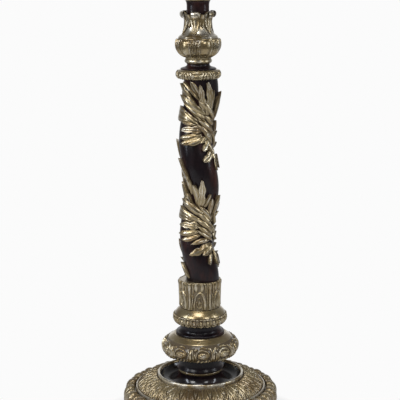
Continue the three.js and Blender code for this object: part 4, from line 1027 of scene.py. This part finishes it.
LOOK_DOWN = 12.28
ROLL = -0.38
PAPER_WHITE = 0.965
camera_data = bpy.data.cameras.new('camera')
camera_data.lens = 115.1
camera = bpy.data.objects.new('camera', camera_data)
bpy.context.scene.collection.objects.link(camera)
camera.location = (0.002, -3.25, 1.337)
tilt = Matrix.Rotation(math.radians(90 - LOOK_DOWN), 3, 'X')
roll = Matrix.Rotation(math.radians(ROLL), 3, 'Z')
camera.rotation_euler = (tilt @ roll).to_euler()
bpy.context.scene.camera = camera


def lamp(name, place, aim, size, power, colour=(1, 1, 1)):
    """A rectangular lamp that faces the stand's axis at the height aim."""
    data = bpy.data.lights.new(name, 'AREA')
    data.shape = 'RECTANGLE'
    data.size, data.size_y = size
    data.energy = power
    data.color = colour
    made = bpy.data.objects.new(name, data)
    bpy.context.scene.collection.objects.link(made)
    made.location = place
    way = Vector((0, 0, aim)) - Vector(place)
    made.rotation_euler = way.to_track_quat('-Z', 'Y').to_euler()


lamp('overhead_softbox', (-0.3, -1.3, 3.3), aim=0.75, size=(1.5, 1.1), power=34)
lamp('left_strip', (-2.6, -0.9, 1.5), aim=0.7, size=(0.4, 1.8), power=25,
     colour=(0.82, 0.89, 1.0))
lamp('right_strip', (2.6, -0.6, 1.5), aim=0.7, size=(0.4, 1.8), power=18,
     colour=(0.86, 0.92, 1.0))
lamp('left_softbox', (-2.1, -2.4, 2.3), aim=0.75, size=(1.2, 1.5), power=42)
lamp('right_softbox', (1.7, -2.8, 2.3), aim=0.75, size=(0.9, 1.2), power=20)

bpy.ops.object.select_all(action='DESELECT')
bpy.ops.mesh.primitive_plane_add(size=3)
floor = bpy.context.object
floor.name = 'studio_floor'
paper, tree, surface, place, node = shader('floor_paper')
surface.inputs['Base Color'].default_value = (0.62, 0.62, 0.62, 1)
surface.inputs['Roughness'].default_value = 0.8
far = node('VectorMath', {'operation': 'LENGTH'}, place).outputs['Value']
fade = node('MapRange', {'From Min': 0.20, 'From Max': 0.33}, far).outputs[0]
seen = node('LightPath').outputs['Is Camera Ray']
faded = node('Math', {'operation': 'MULTIPLY'}, seen, fade).outputs[0]
blank = node('Emission', {'Color': (PAPER_WHITE, PAPER_WHITE, PAPER_WHITE, 1)}).outputs[0]
merge = node('MixShader', None, faded, surface.outputs[0], blank)
tree.links.new(merge.outputs[0], tree.nodes['Material Output'].inputs['Surface'])
floor.data.materials.append(paper)

world = bpy.data.worlds.new('studio')
bpy.context.scene.world = world
world.use_nodes = True
tree = world.node_tree
node = joiner(tree)
# What the camera and the gloss see: white straight behind, and a dim room elsewhere.
way = node('SeparateXYZ', None, node('TexCoord').outputs['Generated']).outputs['Y']
greys = ((0.0, 0.10), (0.55, 0.20), (0.80, 0.34), (0.90, 0.46), (0.95, PAPER_WHITE))
room = ramp(node, way, *((at, (grey, grey, grey)) for at, grey in greys))
tree.links.new(room, tree.nodes['Background'].inputs['Color'])
soft = node('Background', {'Color': (0.42, 0.42, 0.43, 1)}).outputs[0]
seen = node('LightPath').outputs
shown = seen['Is Camera Ray']
for ray in ('Is Glossy Ray', 'Is Transmission Ray'):
    shown = node('Math', {'operation': 'MAXIMUM'}, shown, seen[ray]).outputs[0]
either = node('MixShader', None, shown, soft, tree.nodes['Background'].outputs[0])
tree.links.new(either.outputs[0], tree.nodes['World Output'].inputs['Surface'])

bpy.context.scene.view_settings.view_transform = 'Standard'
